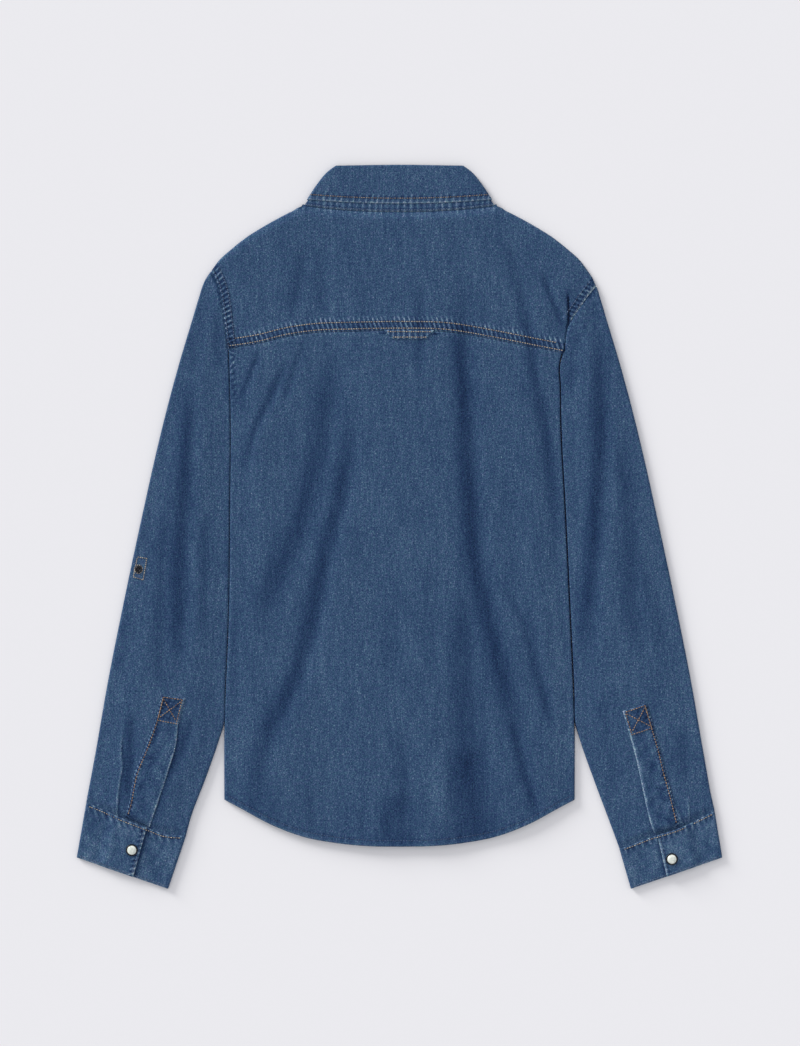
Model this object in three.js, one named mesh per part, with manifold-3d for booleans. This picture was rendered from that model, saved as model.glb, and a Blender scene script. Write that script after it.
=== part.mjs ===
// A denim shirt laid flat on its front, with its back up.
// Millimetres. X runs across the shirt, Y from hem to collar and Z up. It lies on the surface z = 0, with the
// origin under the middle of its outline. Left and right are the wearer's and the viewer's alike.
import * as THREE from 'three';
import { mergeVertices } from 'three/addons/utils/BufferGeometryUtils.js';
import Module from 'manifold-3d';

const wasm = await Module();
wasm.setup();

// Driving dimensions: walls, gaps and heights
const CLOTH = 1.2; // one layer of the denim with its turnings
const BAND = 1.0; // collar leaf, collar stand, sleeve placket and locker loop
const CUFF = 1.6; // a cuff: denim, interlining, denim
const SEAM = 0.3; // between two pieces, beside or on each other
const FOLD_TOP = 3.2; // middle of the upper layer where the shirt folds over an edge
const UNDER = CLOTH / 2; // middle of a layer that lies on the surface
const CROWN_SIDE = 1.2; // how much the upper layer rises inside its edges
const CROWN_CENTRE = 1.1; // and more over the lapped fronts
const CROWN_REACH = 33; // how far from an edge that rise takes
const HEIGHT_MOST = 5.7; // keeps the air inside the shirt under 4 mm
const CREASE_DEEPEST = 0.55; // how far a crease may go below the folded edges
const CENTRE_HALF = 62; // half width of the raised centre
const LAP_HALF = 36; // half width that stays clear of the lapped fronts
const LAP_CLEAR = 2.0; // how much higher a crease stays there
const TOP_REACH = 9; // how far below the neck and shoulders the rise starts
const SLEEVE_EDGE = 2.3; // flat part of a sleeve at its folds
const CUFF_LOW = 3.0; // middle of a cuff's upper layer
const LYING_ON = 0.15; // more room under a strip where the cloth below it is bowed

// Driving dimensions: closures
const LAP = 16; // each front passes the centre line by this
const SIDE_LIP = 10; // back body that shows underneath, from the fold to the side seam
const UNDERARM_LIP = 8; // sleeve from its inner fold to the underarm seam, underneath
const LAP_STEP = { from: LAP + 3, to: LAP + 18 }; // where the inner front comes down beside the outer one
const SNAP_RADIUS = 6;
const CAP_THICK = 1.0;
const CAP_CHAMFER = 0.3;
const CAP_FLAT = 8; // half the length of placket that lies on a cap
const CAP_RISE = CAP_THICK + SEAM; // the front goes over the caps and the collar points by this
const CAP_SWELL = 24; // half the length of placket that a cap lifts
const FRONT_SNAPS = 6; // down the front, and one more on the stand
const FRONT_SNAP_TOP = 222;
const FRONT_SNAP_STEP = 82;
const STAND_SNAP_Y = 290;
const TAB_STUD = { x: -261, y: -42.5 };
const LOOP = { topLeft: -15.9, topRight: 35, footLeft: -7, footRight: 26.5, foot: 187.8 };

// Outline of the upper half, mirrored: half width at each height, from the shoulder point to the cuff
const OUTER = [
  { y: 257.1, x: 187.7 },
  { y: 246.8, x: 194.5 },
  { y: 226.8, x: 201.5 },
  { y: 206.8, x: 207.5 },
  { y: 166.8, x: 219.5 },
  { y: 126.8, x: 230.5 },
  { y: 86.8, x: 240.5 },
  { y: 6.8, x: 258.5 },
  { y: -73.2, x: 275.5 },
  { y: -153.2, x: 291.5 },
  { y: -233.2, x: 305.5 },
  { y: -276.2, x: 313.5 },
  { y: -330.8, x: 323 },
];
// Shoulder line, from the collar out
const SHOULDER = [
  { x: 97, y: 320.8 },
  { x: 113.5, y: 312.8 },
  { x: 135.5, y: 300.8 },
  { x: 154.5, y: 288.8 },
  { x: 169.5, y: 276.8 },
  { x: 180.5, y: 266.8 },
  { x: 187.7, y: 257.1 },
  { x: 194.5, y: 246.8 },
  { x: 196.8, y: 240.8 },
];
// Folded edges of the body, where the sleeves lie against it
const BODY_SIDE = [
  { y: 178.5, left: -171.2, right: 164.0 },
  { y: 158.8, left: -170.6, right: 160.0 },
  { y: 141.8, left: -170.1, right: 160.9 },
  { y: 99.8, left: -169.2, right: 161.5 },
  { y: 30.8, left: -169.8, right: 165.1 },
  { y: -81.2, left: -170.9, right: 170.5 },
  { y: -208.2, left: -175.5, right: 175.5 },
  { y: -272.8, left: -175.5, right: 175.5 },
];
// Armhole seams, from the shoulder down to the yoke seam
const ARMHOLES = {
  left: [
    { y: 256.8, x: -188 },
    { y: 244.8, x: -182.5 },
    { y: 234.8, x: -179.2 },
    { y: 221.8, x: -177 },
    { y: 204.8, x: -174.9 },
    { y: 190.8, x: -173.3 },
    { y: 178.5, x: -172.7 },
  ],
  right: [
    { y: 240.8, x: 196.8 },
    { y: 230.8, x: 188.5 },
    { y: 216.8, x: 178.9 },
    { y: 205.5, x: 171.2 },
    { y: 192.8, x: 167.5 },
    { y: 173.8, x: 165.5 },
  ],
};
const YOKE_SEAM = [
  { x: -172.7, y: 178.5 },
  { x: -143.5, y: 183 },
  { x: -112, y: 190.5 },
  { x: -86.5, y: 194.2 },
  { x: -48.5, y: 195.6 },
  { x: 0, y: 196.4 },
  { x: 47.5, y: 195.2 },
  { x: 95.5, y: 187.5 },
  { x: 127.5, y: 181.2 },
  { x: 165.5, y: 173.8 },
];
const HEM = [
  { x: 0, y: -319.8 },
  { x: 31.5, y: -319.2 },
  { x: 63.5, y: -316.2 },
  { x: 95.5, y: -310.2 },
  { x: 127.5, y: -298.2 },
  { x: 159.5, y: -281.2 },
  { x: 175.5, y: -272.8 },
];
// Inner folds of the sleeves: free below the body, and cut off by the armhole above it
const SLEEVE_FREE = {
  left: [[-209.5, -293.2], [-194.5, -253.2], [-180.5, -213.2]],
  right: [[209.5, -293.2], [194.5, -253.2], [180.5, -213.2]],
};
const SLEEVE_CUT = { left: [[-166, 205], [-152, 232]], right: [[160, 205], [150, 232]] };
const SLEEVE_GAP = { left: 0.6, right: 1.8 }; // between a sleeve and the body's folded edge
// Outer corner of the sleeve, cut off by the armhole
const SLEEVE_TOP = { left: [-171, 278], right: [176, 274] };
// Room between the armhole and the sleeve cut off there: wider above a height on the right
const ARMHOLE_GAP = { least: 0.5, more: { left: 0, right: 1 }, from: 200, to: 216 };
const CUFFS = {
  left: {
    seam: [
      [-313.5, -276.2], [-304, -279.6], [-278.5, -290.9],
      [-250.5, -301.7], [-235.5, -307.4], [-213.5, -309.2]],
    hem: [[-323, -330.8], [-231.5, -362.2]],
    lapEnd: 0.62,
    snap: [-267.5, -323.2],
  },
  right: {
    seam: [
      [315.3, -284.2], [284.5, -299.3], [279.5, -301.4], [251.5, -310.4], [225.5, -320.4], [220, -322.2]],
    hem: [[323, -330.8], [231.5, -362.2]],
    lapEnd: 0.61,
    snap: [272.2, -332.2],
  },
};
const CUFF_UNDERLAP = 0.36; // where the cuff's lower end lies, as a share of its width from the outer fold
const CUFF_LIFT_FROM = 0.2;
const CUFF_LIFT_TO = 0.33;
// Edges of the sleeve plackets, from the cuff up
const PLACKET_LEFT = [
  { a: [-274.6, -290.4], b: [-249.8, -300.4] },
  { a: [-271, -278.2], b: [-242.9, -280.2] },
  { a: [-265, -247.2], b: [-232, -247] },
  { a: [-254, -220.2], b: [-222.7, -214] },
  { a: [-244, -193.2], b: [-221.5, -200.2] },
  { a: [-237.5, -168.2], b: [-214.5, -171.2] },
];
const PLACKET_RIGHT = [
  { a: [254.9, -306.6], b: [279.8, -299] },
  { a: [251.5, -298.2], b: [276, -282] },
  { a: [246.5, -278.2], b: [271, -262.8] },
  { a: [241.5, -255.2], b: [266, -245.2] },
  { a: [236.5, -232.2], b: [261, -224.2] },
  { a: [230.5, -210.2], b: [254, -200.2] },
  { a: [223, -184.2], b: [247, -176.2] },
];
// Main creases of the upper layer: a soft trough along a bowed line, depth below zero for a ridge
const CREASES = [
  { from: [-139, 174], via: [-150, 152], to: [-158, 132], depth: 1.0, width: 5 },
  { from: [-112, 174], via: [-136, 112], to: [-156, 50], depth: 1.2, width: 7 },
  { from: [-95, 182], via: [-110, 160], to: [-124, 138], depth: 0.8, width: 5 },
  { from: [-72, 184], via: [-78, 60], to: [-144, -124], depth: 1.5, width: 12 },
  { from: [-50, 136], via: [-74, -20], to: [-138, -230], depth: 1.7, width: 9 },
  { from: [20, 250], via: [17, 200], to: [16, 148], depth: 0.7, width: 6 },
  { from: [58, 262], via: [66, 40], to: [130, -250], depth: 1.9, width: 10 },
  { from: [62, -60], via: [64, -160], to: [76, -300], depth: 1.4, width: 14 },
  { from: [0, -198], via: [1, -250], to: [-2, -300], depth: 0.6, width: 9 },
  { from: [37, -220], via: [38, -265], to: [38, -312], depth: -0.5, width: 8 },
  { from: [120, 250], via: [148, 120], to: [156, -24], depth: 1.3, width: 6 },
  { from: [96, -48], via: [124, -110], to: [160, -214], depth: 0.9, width: 6 },
  { from: [106, 286], via: [118, 250], to: [124, 210], depth: 0.8, width: 7 },
  { from: [140, 256], via: [154, 226], to: [165, 192], depth: 1.0, width: 6 },
  { from: [-100, 282], via: [-104, 246], to: [-110, 212], depth: 0.7, width: 7 },
  { from: [-212, 156], via: [-213, 20], to: [-228, -164], depth: 1.8, width: 8 },
  { from: [-232, 36], via: [-244, -50], to: [-246, -174], depth: 0.7, width: 7 },
  { from: [-194, 26], via: [-196, -50], to: [-198, -124], depth: 0.6, width: 7 },
  { from: [-275, -184], via: [-273, -230], to: [-274, -278], depth: 1.4, width: 6 },
  { from: [-206, -190], via: [-220, -220], to: [-232, -254], depth: 1.0, width: 6 },
  { from: [197, 210], via: [202, 60], to: [182, -150], depth: 1.8, width: 9 },
  { from: [220, 96], via: [228, 20], to: [241, -138], depth: 0.8, width: 8 },
  { from: [280, -198], via: [284, -230], to: [287, -258], depth: 0.7, width: 7 },
];
const CREASE_SAMPLES = 14;

// Collar
const COLLAR_TOP = 362.2;
const COLLAR_SIDE = [
  { y: 362.2, x: 62.5 },
  { y: 354.8, x: 72.5 },
  { y: 342.8, x: 82.5 },
  { y: 330.8, x: 90.5 },
  { y: 320.8, x: 97 },
];
const LEAF_TOP = 4.5; // middle of the leaf where it lies over the stand, at the back
const LEAF_UNDER = BAND / 2;
const STAND_HEAD = 352; // upper edge of the stand at the back, inside the leaf's fold
const STAND_TOP = FOLD_TOP;
const STAND_UNDER = LEAF_UNDER + BAND + SEAM;
const LEAF_EDGE_CENTRE = 323.2; // free edge of the leaf at the back
const LEAF_EDGE_SIDE = 327.3;
const LEAF_POINT = [38, 264.8]; // the collar point, underneath
const ROLL_CENTRE = [3, 304.8]; // where the leaf's fold meets the centre front
const ROLL_SIDE = 61;
const ROLL_RISE = 55.5;
const ROLL_ANGLE = THREE.MathUtils.degToRad(50);
const NECK_HALF = 97;
const NECK_CENTRE = 315;
const NECK_RISE = 6.3;
const NECK_SIDE_Y = 320.8;
const NECK_DROP_FRONT = 41;
const SHOULDER_ROLL = FOLD_TOP - CLOTH - SEAM; // radius of the yoke's turned edge
const NECK_TURN = 10; // the yoke's edge goes from flat to turned over this, beside the collar
// The part of the fronts that lies on the collar points: beyond the leaf's side edge it comes down
const LEAF_SIDE = { x: 94.5, y: 323.8, outX: 0.722, outY: -0.691 };
const OVER_LEAF = { edgeFrom: 1.5, edgeTo: 14, pointFrom: 248, pointTo: 262, sideFrom: 80, sideTo: 95 };

const DENIM = { color: 0x3a5a7a, roughness: 0.9, metalness: 0 };
const DENIM_DARK = { color: 0x36536f, roughness: 0.9, metalness: 0 };
const RING = { color: 0x1b1d22, roughness: 0.35, metalness: 0.8 };
const PEARL = { color: 0xe6e4dc, roughness: 0.25, metalness: 0 };

const shirt = new THREE.Group();

// Small helpers
const mix = (a, b, t) => a + (b - a) * t;
const smooth = (low, high, value) => THREE.MathUtils.smoothstep(value, low, high);

// Value in one column of a table where another column has a given value
function lookup(table, key, value, at) {
  const rising = table[table.length - 1][key] > table[0][key];
  const rows = rising ? table : [...table].reverse();
  if (at <= rows[0][key]) return rows[0][value];
  for (let i = 1; i < rows.length; i += 1) {
    const [low, high] = [rows[i - 1], rows[i]];
    if (at <= high[key]) return mix(low[value], high[value], (at - low[key]) / (high[key] - low[key]));
  }
  return rows[rows.length - 1][value];
}

// The same table with many rows, along a smooth line through the given ones
const FINE_ROWS = 90; // rows of a table once smoothed
function smoothed(table, across, value) {
  const points = table.map((row) => new THREE.Vector3(row[across], row[value], 0));
  const curve = new THREE.CatmullRomCurve3(points, false, 'centripetal');
  return curve.getPoints(FINE_ROWS).map((point) => ({ [across]: point.x, [value]: point.y }));
}

function reader(table, across, value) {
  const rows = smoothed(table, across, value);
  return (at) => lookup(rows, across, value, at);
}
const yokeSeam = reader(YOKE_SEAM, 'x', 'y');
const hemAt = reader(HEM, 'x', 'y');
const shoulderAt = reader(SHOULDER, 'x', 'y');
const outerAt = reader(OUTER, 'y', 'x');
const bodySide = { left: reader(BODY_SIDE, 'y', 'left'), right: reader(BODY_SIDE, 'y', 'right') };
const armholeAt = { left: reader(ARMHOLES.left, 'y', 'x'), right: reader(ARMHOLES.right, 'y', 'x') };
const armholeFoot = (side) => ARMHOLES[side][ARMHOLES[side].length - 1].y;

// A smooth line through points of the plan, read by a share of its length
function line(points) {
  const curve = new THREE.CatmullRomCurve3(
    points.map(([x, y]) => new THREE.Vector3(x, y, 0)), false, 'centripetal');
  return (t) => {
    const p = curve.getPointAt(THREE.MathUtils.clamp(t, 0, 1));
    return new THREE.Vector2(p.x, p.y);
  };
}

// A patch of the plan filled between four boundary lines
function patch({ left, right, bottom, top }) {
  const corners = [left(0), right(0), left(1), right(1)];
  return (u, v) => {
    const across = left(v).multiplyScalar(1 - u).addScaledVector(right(v), u);
    const up = bottom(u).multiplyScalar(1 - v).addScaledVector(top(u), v);
    const flat = corners[0].clone().multiplyScalar((1 - u) * (1 - v))
      .addScaledVector(corners[1], u * (1 - v))
      .addScaledVector(corners[2], (1 - u) * v)
      .addScaledVector(corners[3], u * v);
    return across.add(up).sub(flat);
  };
}

// Stations along one direction of a sheet, each span cut into equal steps
function stations(...spans) {
  const list = [spans[0].from];
  for (const { from, to, steps } of spans) {
    for (let i = 1; i <= steps; i += 1) list.push(mix(from, to, i / steps));
  }
  return list;
}

// A closed sheet of cloth: a grid wrapped on a middle surface and thickened along its normals
function sheet(across, up, wall, middle) {
  const box = new THREE.BoxGeometry(1, 1, 1, across.length - 1, up.length - 1, 1);
  box.deleteAttribute('normal');
  box.deleteAttribute('uv');
  const geometry = mergeVertices(box);
  const place = geometry.attributes.position;
  const tiny = 1e-4;
  for (let i = 0; i < place.count; i += 1) {
    const p = across[Math.round((place.getX(i) + 0.5) * (across.length - 1))];
    const v = up[Math.round((place.getY(i) + 0.5) * (up.length - 1))];
    const side = Math.sign(place.getZ(i));
    const at = middle(p, v);
    const pNext = p + tiny > across[across.length - 1] ? p - tiny : p + tiny;
    const vNext = v + tiny > up[up.length - 1] ? v - tiny : v + tiny;
    const alongP = middle(pNext, v).sub(at).multiplyScalar(Math.sign(pNext - p));
    const alongV = middle(p, vNext).sub(at).multiplyScalar(Math.sign(vNext - v));
    at.addScaledVector(alongP.cross(alongV).normalize(), (side * wall) / 2);
    place.setXYZ(i, at.x, at.y, at.z);
  }
  return geometry;
}

function add(name, geometry, look) {
  geometry.computeVertexNormals();
  const mesh = new THREE.Mesh(geometry, new THREE.MeshStandardMaterial(look));
  mesh.name = name;
  shirt.add(mesh);
  return mesh;
}

const lifted = (point, height) => new THREE.Vector3(point.x, point.y, height);
const SHARE_BACK = 0.02; // a short way back inside an edge, to find its direction outward

// A flat tube seen from above, in five stages: 0 to 1 underneath up to the left fold, 1 to 2 round it,
// 2 to 3 across the top, 3 to 4 round the right fold and 4 to 5 back underneath.
function flatTube({ plan, inset, top, under, lipLeft, lipRight, underLeft, underRight }) {
  const share = (v) => inset / plan(1, v).distanceTo(plan(0, v));
  const over = (w, v) => plan(mix(share(v), 1 - share(v), w), v);
  const lip = (reach, v) => reach / plan(1, v).distanceTo(plan(0, v));
  const belowLeft = underLeft || ((t, v) => plan(share(v) + lip(lipLeft(v), v) * t, v));
  const belowRight = underRight || ((t, v) => plan(1 - share(v) - lip(lipRight(v), v) * t, v));
  return (p, v) => {
    const stage = Math.min(Math.floor(p), 4);
    const t = p - stage;
    if (stage === 2) {
      const point = over(t, v);
      return lifted(point, top(point));
    }
    if (stage === 0 || stage === 4) {
      const point = stage === 0 ? belowLeft(1 - t, v) : belowRight(t, v);
      return lifted(point, under(point));
    }
    const left = stage === 1;
    const fold = over(left ? 0 : 1, v);
    const out = plan(left ? 0 : 1, v).sub(fold).normalize();
    const radius = (top(fold) - under(fold)) / 2;
    const turn = Math.PI * (left ? 1 - t : t);
    fold.addScaledVector(out, radius * Math.sin(turn));
    return lifted(fold, under(fold) + radius * (1 + Math.cos(turn)));
  };
}

function tubeStations({ lipLeft, fold, top, lipRight }) {
  return stations(
    { from: 0, to: 1, steps: lipLeft },
    { from: 1, to: 2, steps: fold },
    { from: 2, to: 3, steps: top },
    { from: 3, to: 4, steps: fold },
    { from: 4, to: 5, steps: lipRight },
  );
}

// Depth of all creases at a place
const creaseLines = CREASES.map(({ from, via, to, depth, width }) => {
  const curve = new THREE.QuadraticBezierCurve(
    new THREE.Vector2(...from), new THREE.Vector2(...via), new THREE.Vector2(...to));
  return { points: curve.getPoints(CREASE_SAMPLES), depth, width };
});
function creaseDepth(x, y) {
  let total = 0;
  for (const { points, depth, width } of creaseLines) {
    let nearest = Infinity;
    let along = 0;
    for (let i = 1; i < points.length; i += 1) {
      const span = points[i].clone().sub(points[i - 1]);
      const offset = new THREE.Vector2(x, y).sub(points[i - 1]);
      const t = THREE.MathUtils.clamp(offset.dot(span) / span.lengthSq(), 0, 1);
      const distance = offset.addScaledVector(span, -t).length();
      if (distance < nearest) {
        nearest = distance;
        along = (i - 1 + t) / CREASE_SAMPLES;
      }
    }
    const fade = smooth(0, 0.25, along) * (1 - smooth(0.75, 1, along));
    total += depth * fade * Math.exp(-((nearest / width) ** 2));
  }
  return total;
}

// Height of the middle of the body's upper layer
const neckSeam = (x) => NECK_CENTRE + NECK_RISE * (Math.abs(x) / NECK_HALF) ** 2.2;
const topEdge = (x) => (Math.abs(x) < NECK_HALF ? neckSeam(x) : shoulderAt(Math.abs(x)));
const bodyEdge = (side, y) => (y > armholeFoot(side) ? armholeAt[side](y) : bodySide[side](y));
const BODY_INSET = (FOLD_TOP - UNDER) / 2 + CLOTH / 2;
function backHeight({ x, y }) {
  const fromSide = Math.min(x - bodyEdge('left', y), bodyEdge('right', y) - x);
  const rise = smooth(BODY_INSET, CROWN_REACH, fromSide);
  const fromTop = smooth(0, TOP_REACH, topEdge(x) - y);
  const centre = CROWN_CENTRE * Math.exp(-((x / CENTRE_HALF) ** 4));
  const crown = (CROWN_SIDE * rise + centre) * fromTop;
  const height = FOLD_TOP + crown - creaseDepth(x, y) * rise * fromTop;
  const least = FOLD_TOP - CREASE_DEEPEST + LAP_CLEAR * Math.exp(-((x / LAP_HALF) ** 6)) * fromTop;
  return Math.min(Math.max(height, rise > 0 ? least : FOLD_TOP), HEIGHT_MOST);
}

// Inner fold of a sleeve, from the cuff up, as points of the plan
const BESIDE_BODY = [-196, -170, -140, -81, -20, 30, 80, 110, 140, 160, 174];
function sleeveInner(side) {
  const sign = side === 'left' ? -1 : 1;
  const beside = BESIDE_BODY.map((y) => [bodySide[side](y) + sign * SLEEVE_GAP[side], y]);
  return [CUFFS[side].seam.at(-1), ...SLEEVE_FREE[side], ...beside, ...SLEEVE_CUT[side]];
}
const innerTable = (side) => sleeveInner(side).map(([x, y]) => ({ x, y }));
const innerAt = { left: reader(innerTable('left'), 'y', 'x'), right: reader(innerTable('right'), 'y', 'x') };

// Height of the middle of a sleeve's upper layer
function sleeveHeight({ x, y }) {
  const side = x < 0 ? 'left' : 'right';
  const fromOuter = outerAt(y) - Math.abs(x);
  const fromInner = Math.abs(x) - Math.abs(innerAt[side](y));
  const rise = smooth(SLEEVE_EDGE, CROWN_REACH, Math.min(fromOuter, fromInner));
  const height = FOLD_TOP + CROWN_SIDE * rise - creaseDepth(x, y) * rise;
  return Math.min(Math.max(height, FOLD_TOP - CREASE_DEEPEST), HEIGHT_MOST);
}

// Back body: hem to yoke seam, sides folded under to the side seams
function backBody() {
  const hemY = HEM[HEM.length - 1].y;
  const edge = (side) => (v) => {
    const topY = yokeSeam(bodySide[side](BODY_SIDE[0].y)) - SEAM / 2;
    const y = mix(hemY, topY, v);
    return new THREE.Vector2(bodySide[side](y), y);
  };
  const left = edge('left');
  const right = edge('right');
  const bottom = (u) => {
    const x = mix(left(0).x, right(0).x, u);
    return new THREE.Vector2(x, hemAt(Math.abs(x)));
  };
  const top = (u) => {
    const x = mix(left(1).x, right(1).x, u);
    return new THREE.Vector2(x, yokeSeam(x) - SEAM / 2);
  };
  const middle = flatTube({
    plan: patch({ left, right, bottom, top }),
    inset: BODY_INSET,
    top: backHeight,
    under: () => UNDER,
    lipLeft: (v) => sideLip(left(v).y),
    lipRight: (v) => sideLip(right(v).y),
  });
  const across = tubeStations({ lipLeft: 1, fold: 3, top: 32, lipRight: 1 });
  add('back_body', sheet(across, stations({ from: 0, to: 1, steps: 18 }), CLOTH, middle), DENIM);
}
const SIDE_SEAM_GAP = { left: 0.6, right: 1.6 }; // wider where the body's edge bends
// How far the folded side shows underneath: full below the armhole and next to nothing at the yoke
const LIP_FULL = 132;
const LIP_LEAST = 178;
const lipFade = (y) => THREE.MathUtils.clamp((y - LIP_FULL) / (LIP_LEAST - LIP_FULL), 0, 1);
const sideLip = (y) => mix(SIDE_LIP, 1, lipFade(y));

// Back yoke: armhole to armhole, turned down along the shoulders
function backYoke() {
  const edge = (side) => (v) => {
    const y = mix(armholeFoot(side) + SEAM / 2, ARMHOLES[side][0].y, v);
    return new THREE.Vector2(armholeAt[side](y), y);
  };
  const left = edge('left');
  const right = edge('right');
  const bottom = (u) => {
    const x = mix(left(0).x, right(0).x, u);
    return new THREE.Vector2(x, yokeSeam(x) + SEAM / 2);
  };
  const top = (u) => {
    const x = mix(left(1).x, right(1).x, u);
    return new THREE.Vector2(x, topEdge(x) - (Math.abs(x) < NECK_HALF ? SEAM / 2 : 0));
  };
  const plan = patch({ left, right, bottom, top });
  const neckEdge = 0.1; // the edge along the neck stays flat
  const middle = (u, v) => {
    const past = Math.max(v - 1, 0);
    const edgePoint = top(u);
    const turned = smooth(NECK_HALF, NECK_HALF + NECK_TURN, Math.abs(edgePoint.x));
    const inset = (SHOULDER_ROLL + CLOTH / 2) * turned;
    const length = edgePoint.distanceTo(bottom(u));
    const inside = 1 - inset / length;
    const point = plan(u, Math.min(v, 1) * inside);
    const height = backHeight(point);
    if (past === 0) return lifted(point, height);
    const out = plan(u, 1).sub(plan(u, 1 - SHARE_BACK)).normalize();
    const turn = (past * Math.PI * turned) / 2;
    const straight = past * neckEdge * (1 - turned);
    point.addScaledVector(out, SHOULDER_ROLL * Math.sin(turn) + straight);
    return lifted(point, height - SHOULDER_ROLL * (1 - Math.cos(turn)));
  };
  const neckFrom = (left(1).x + NECK_HALF) / (left(1).x - right(1).x);
  const neckTo = (left(1).x - NECK_HALF) / (left(1).x - right(1).x);
  const across = stations(
    { from: 0, to: neckFrom, steps: 6 },
    { from: neckFrom, to: neckTo, steps: 13 },
    { from: neckTo, to: 1, steps: 6 },
  );
  const up = stations({ from: 0, to: 1, steps: 9 }, { from: 1, to: 2, steps: 3 });
  add('back_yoke', sheet(across, up, CLOTH, middle), DENIM);
}

// Height of a front's middle over the surface: up over the snap caps and the collar points
const frontSnapY = Array.from({ length: FRONT_SNAPS }, (_, i) => FRONT_SNAP_TOP - FRONT_SNAP_STEP * i);
const neckline = (x) => NECK_SIDE_Y - NECK_DROP_FRONT * (1 - (Math.abs(x) / NECK_HALF) ** 2);
function frontRise(x, y) {
  const out = Math.abs(x);
  let cap = 0;
  for (const at of frontSnapY) cap = Math.max(cap, 1 - smooth(CAP_FLAT, CAP_SWELL, Math.abs(y - at)));
  cap *= 1 - smooth(LAP_STEP.from, LAP_STEP.to, out);
  const beyond = (out - LEAF_SIDE.x) * LEAF_SIDE.outX + (y - LEAF_SIDE.y) * LEAF_SIDE.outY;
  const leaf = (1 - smooth(OVER_LEAF.edgeFrom, OVER_LEAF.edgeTo, beyond))
    * smooth(OVER_LEAF.pointFrom, OVER_LEAF.pointTo, y)
    * (1 - smooth(OVER_LEAF.sideFrom, OVER_LEAF.sideTo, out));
  return CAP_RISE * Math.max(cap, leaf);
}

const ABOVE_FOOT = 4; // the front's edge passes from side seam to armhole this far above the armhole's foot
const SHOULDER_SHARE = 0.45; // share of the front's upper edge that is its shoulder
// Columns from the side inward, beyond the shoulder
const FRONT_COLUMNS = [0.62, 0.72, 0.78, 0.86, 1];
// More rows from the armhole's foot up, as shares of the front's length
const ARMHOLE_ROWS = [0.764, 0.848, 0.857, 0.876, 0.9, 0.925, 0.955, 0.972, 0.986];
const ROW_LEAST = 0.004;

// The fronts: side seam to just past the centre, hem to shoulder and neckline
function front(side) {
  const sign = side === 'left' ? -1 : 1;
  const foot = armholeFoot(side);
  const tip = ARMHOLES[side][0];
  const sideEdge = (v) => {
    const y = mix(HEM[HEM.length - 1].y, tip.y, v);
    const seamAt = bodySide[side](y) - sign * (BODY_INSET + sideLip(y) + SIDE_SEAM_GAP[side]);
    const x = y < foot + ABOVE_FOOT ? seamAt : armholeAt[side](y);
    return new THREE.Vector2(x, y);
  };
  const centreX = -sign * LAP;
  const centreEdge = (v) => new THREE.Vector2(
    centreX, mix(hemAt(LAP), neckline(LAP) - SEAM / 2, v));
  const bottom = (u) => {
    const x = mix(sideEdge(0).x, centreX, u);
    return new THREE.Vector2(x, hemAt(Math.abs(x)));
  };
  const kink = SHOULDER_SHARE;
  const top = (u) => {
    const x = u < kink
      ? mix(tip.x, sign * NECK_HALF, u / kink)
      : mix(sign * NECK_HALF, centreX, (u - kink) / (1 - kink));
    const y = u < kink ? topEdge(x) : neckline(x) - 2 * SEAM;
    return new THREE.Vector2(x, y);
  };
  const plan = patch({ left: sideEdge, right: centreEdge, bottom, top });
  const step = (x) => (CLOTH + SEAM) * (1 - smooth(LAP_STEP.from, LAP_STEP.to, x));
  const lap = (x) => (side === 'left' ? 0 : step(x));
  const middle = (u, v) => {
    const point = plan(sign < 0 ? u : 1 - u, v);
    return lifted(point, UNDER + frontRise(point.x, point.y) + lap(point.x));
  };
  const outward = [0, kink / 3, (kink * 2) / 3, kink, ...FRONT_COLUMNS];
  const across = sign < 0 ? outward : outward.map((u) => 1 - u).reverse();
  const centreSpan = centreEdge(1).y - centreEdge(0).y;
  const besideCap = [-CAP_SWELL, -CAP_FLAT, CAP_FLAT, CAP_SWELL];
  const atCaps = frontSnapY.flatMap((y) => besideCap.map((past) => y + past));
  const all = [0, ...atCaps.map((y) => (y - centreEdge(0).y) / centreSpan), ...ARMHOLE_ROWS, 1];
  const up = all.sort((a, b) => a - b).filter((v, i, list) => i === 0 || v - list[i - 1] > ROW_LEAST);
  add(`front_${side}`, sheet(across, up, CLOTH, middle), DENIM_DARK);
}

// Solid of a geometry for one boolean cut
function toManifold(geometry) {
  const mesh = new wasm.Mesh({
    numProp: 3,
    vertProperties: new Float32Array(geometry.attributes.position.array),
    triVerts: new Uint32Array(geometry.index.array),
  });
  return new wasm.Manifold(mesh);
}
function fromManifold(solid) {
  const { vertProperties, triVerts } = solid.getMesh();
  const geometry = new THREE.BufferGeometry();
  geometry.setAttribute('position', new THREE.BufferAttribute(new Float32Array(vertProperties), 3));
  geometry.setIndex(new THREE.BufferAttribute(new Uint32Array(triVerts), 1));
  return geometry;
}

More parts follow.
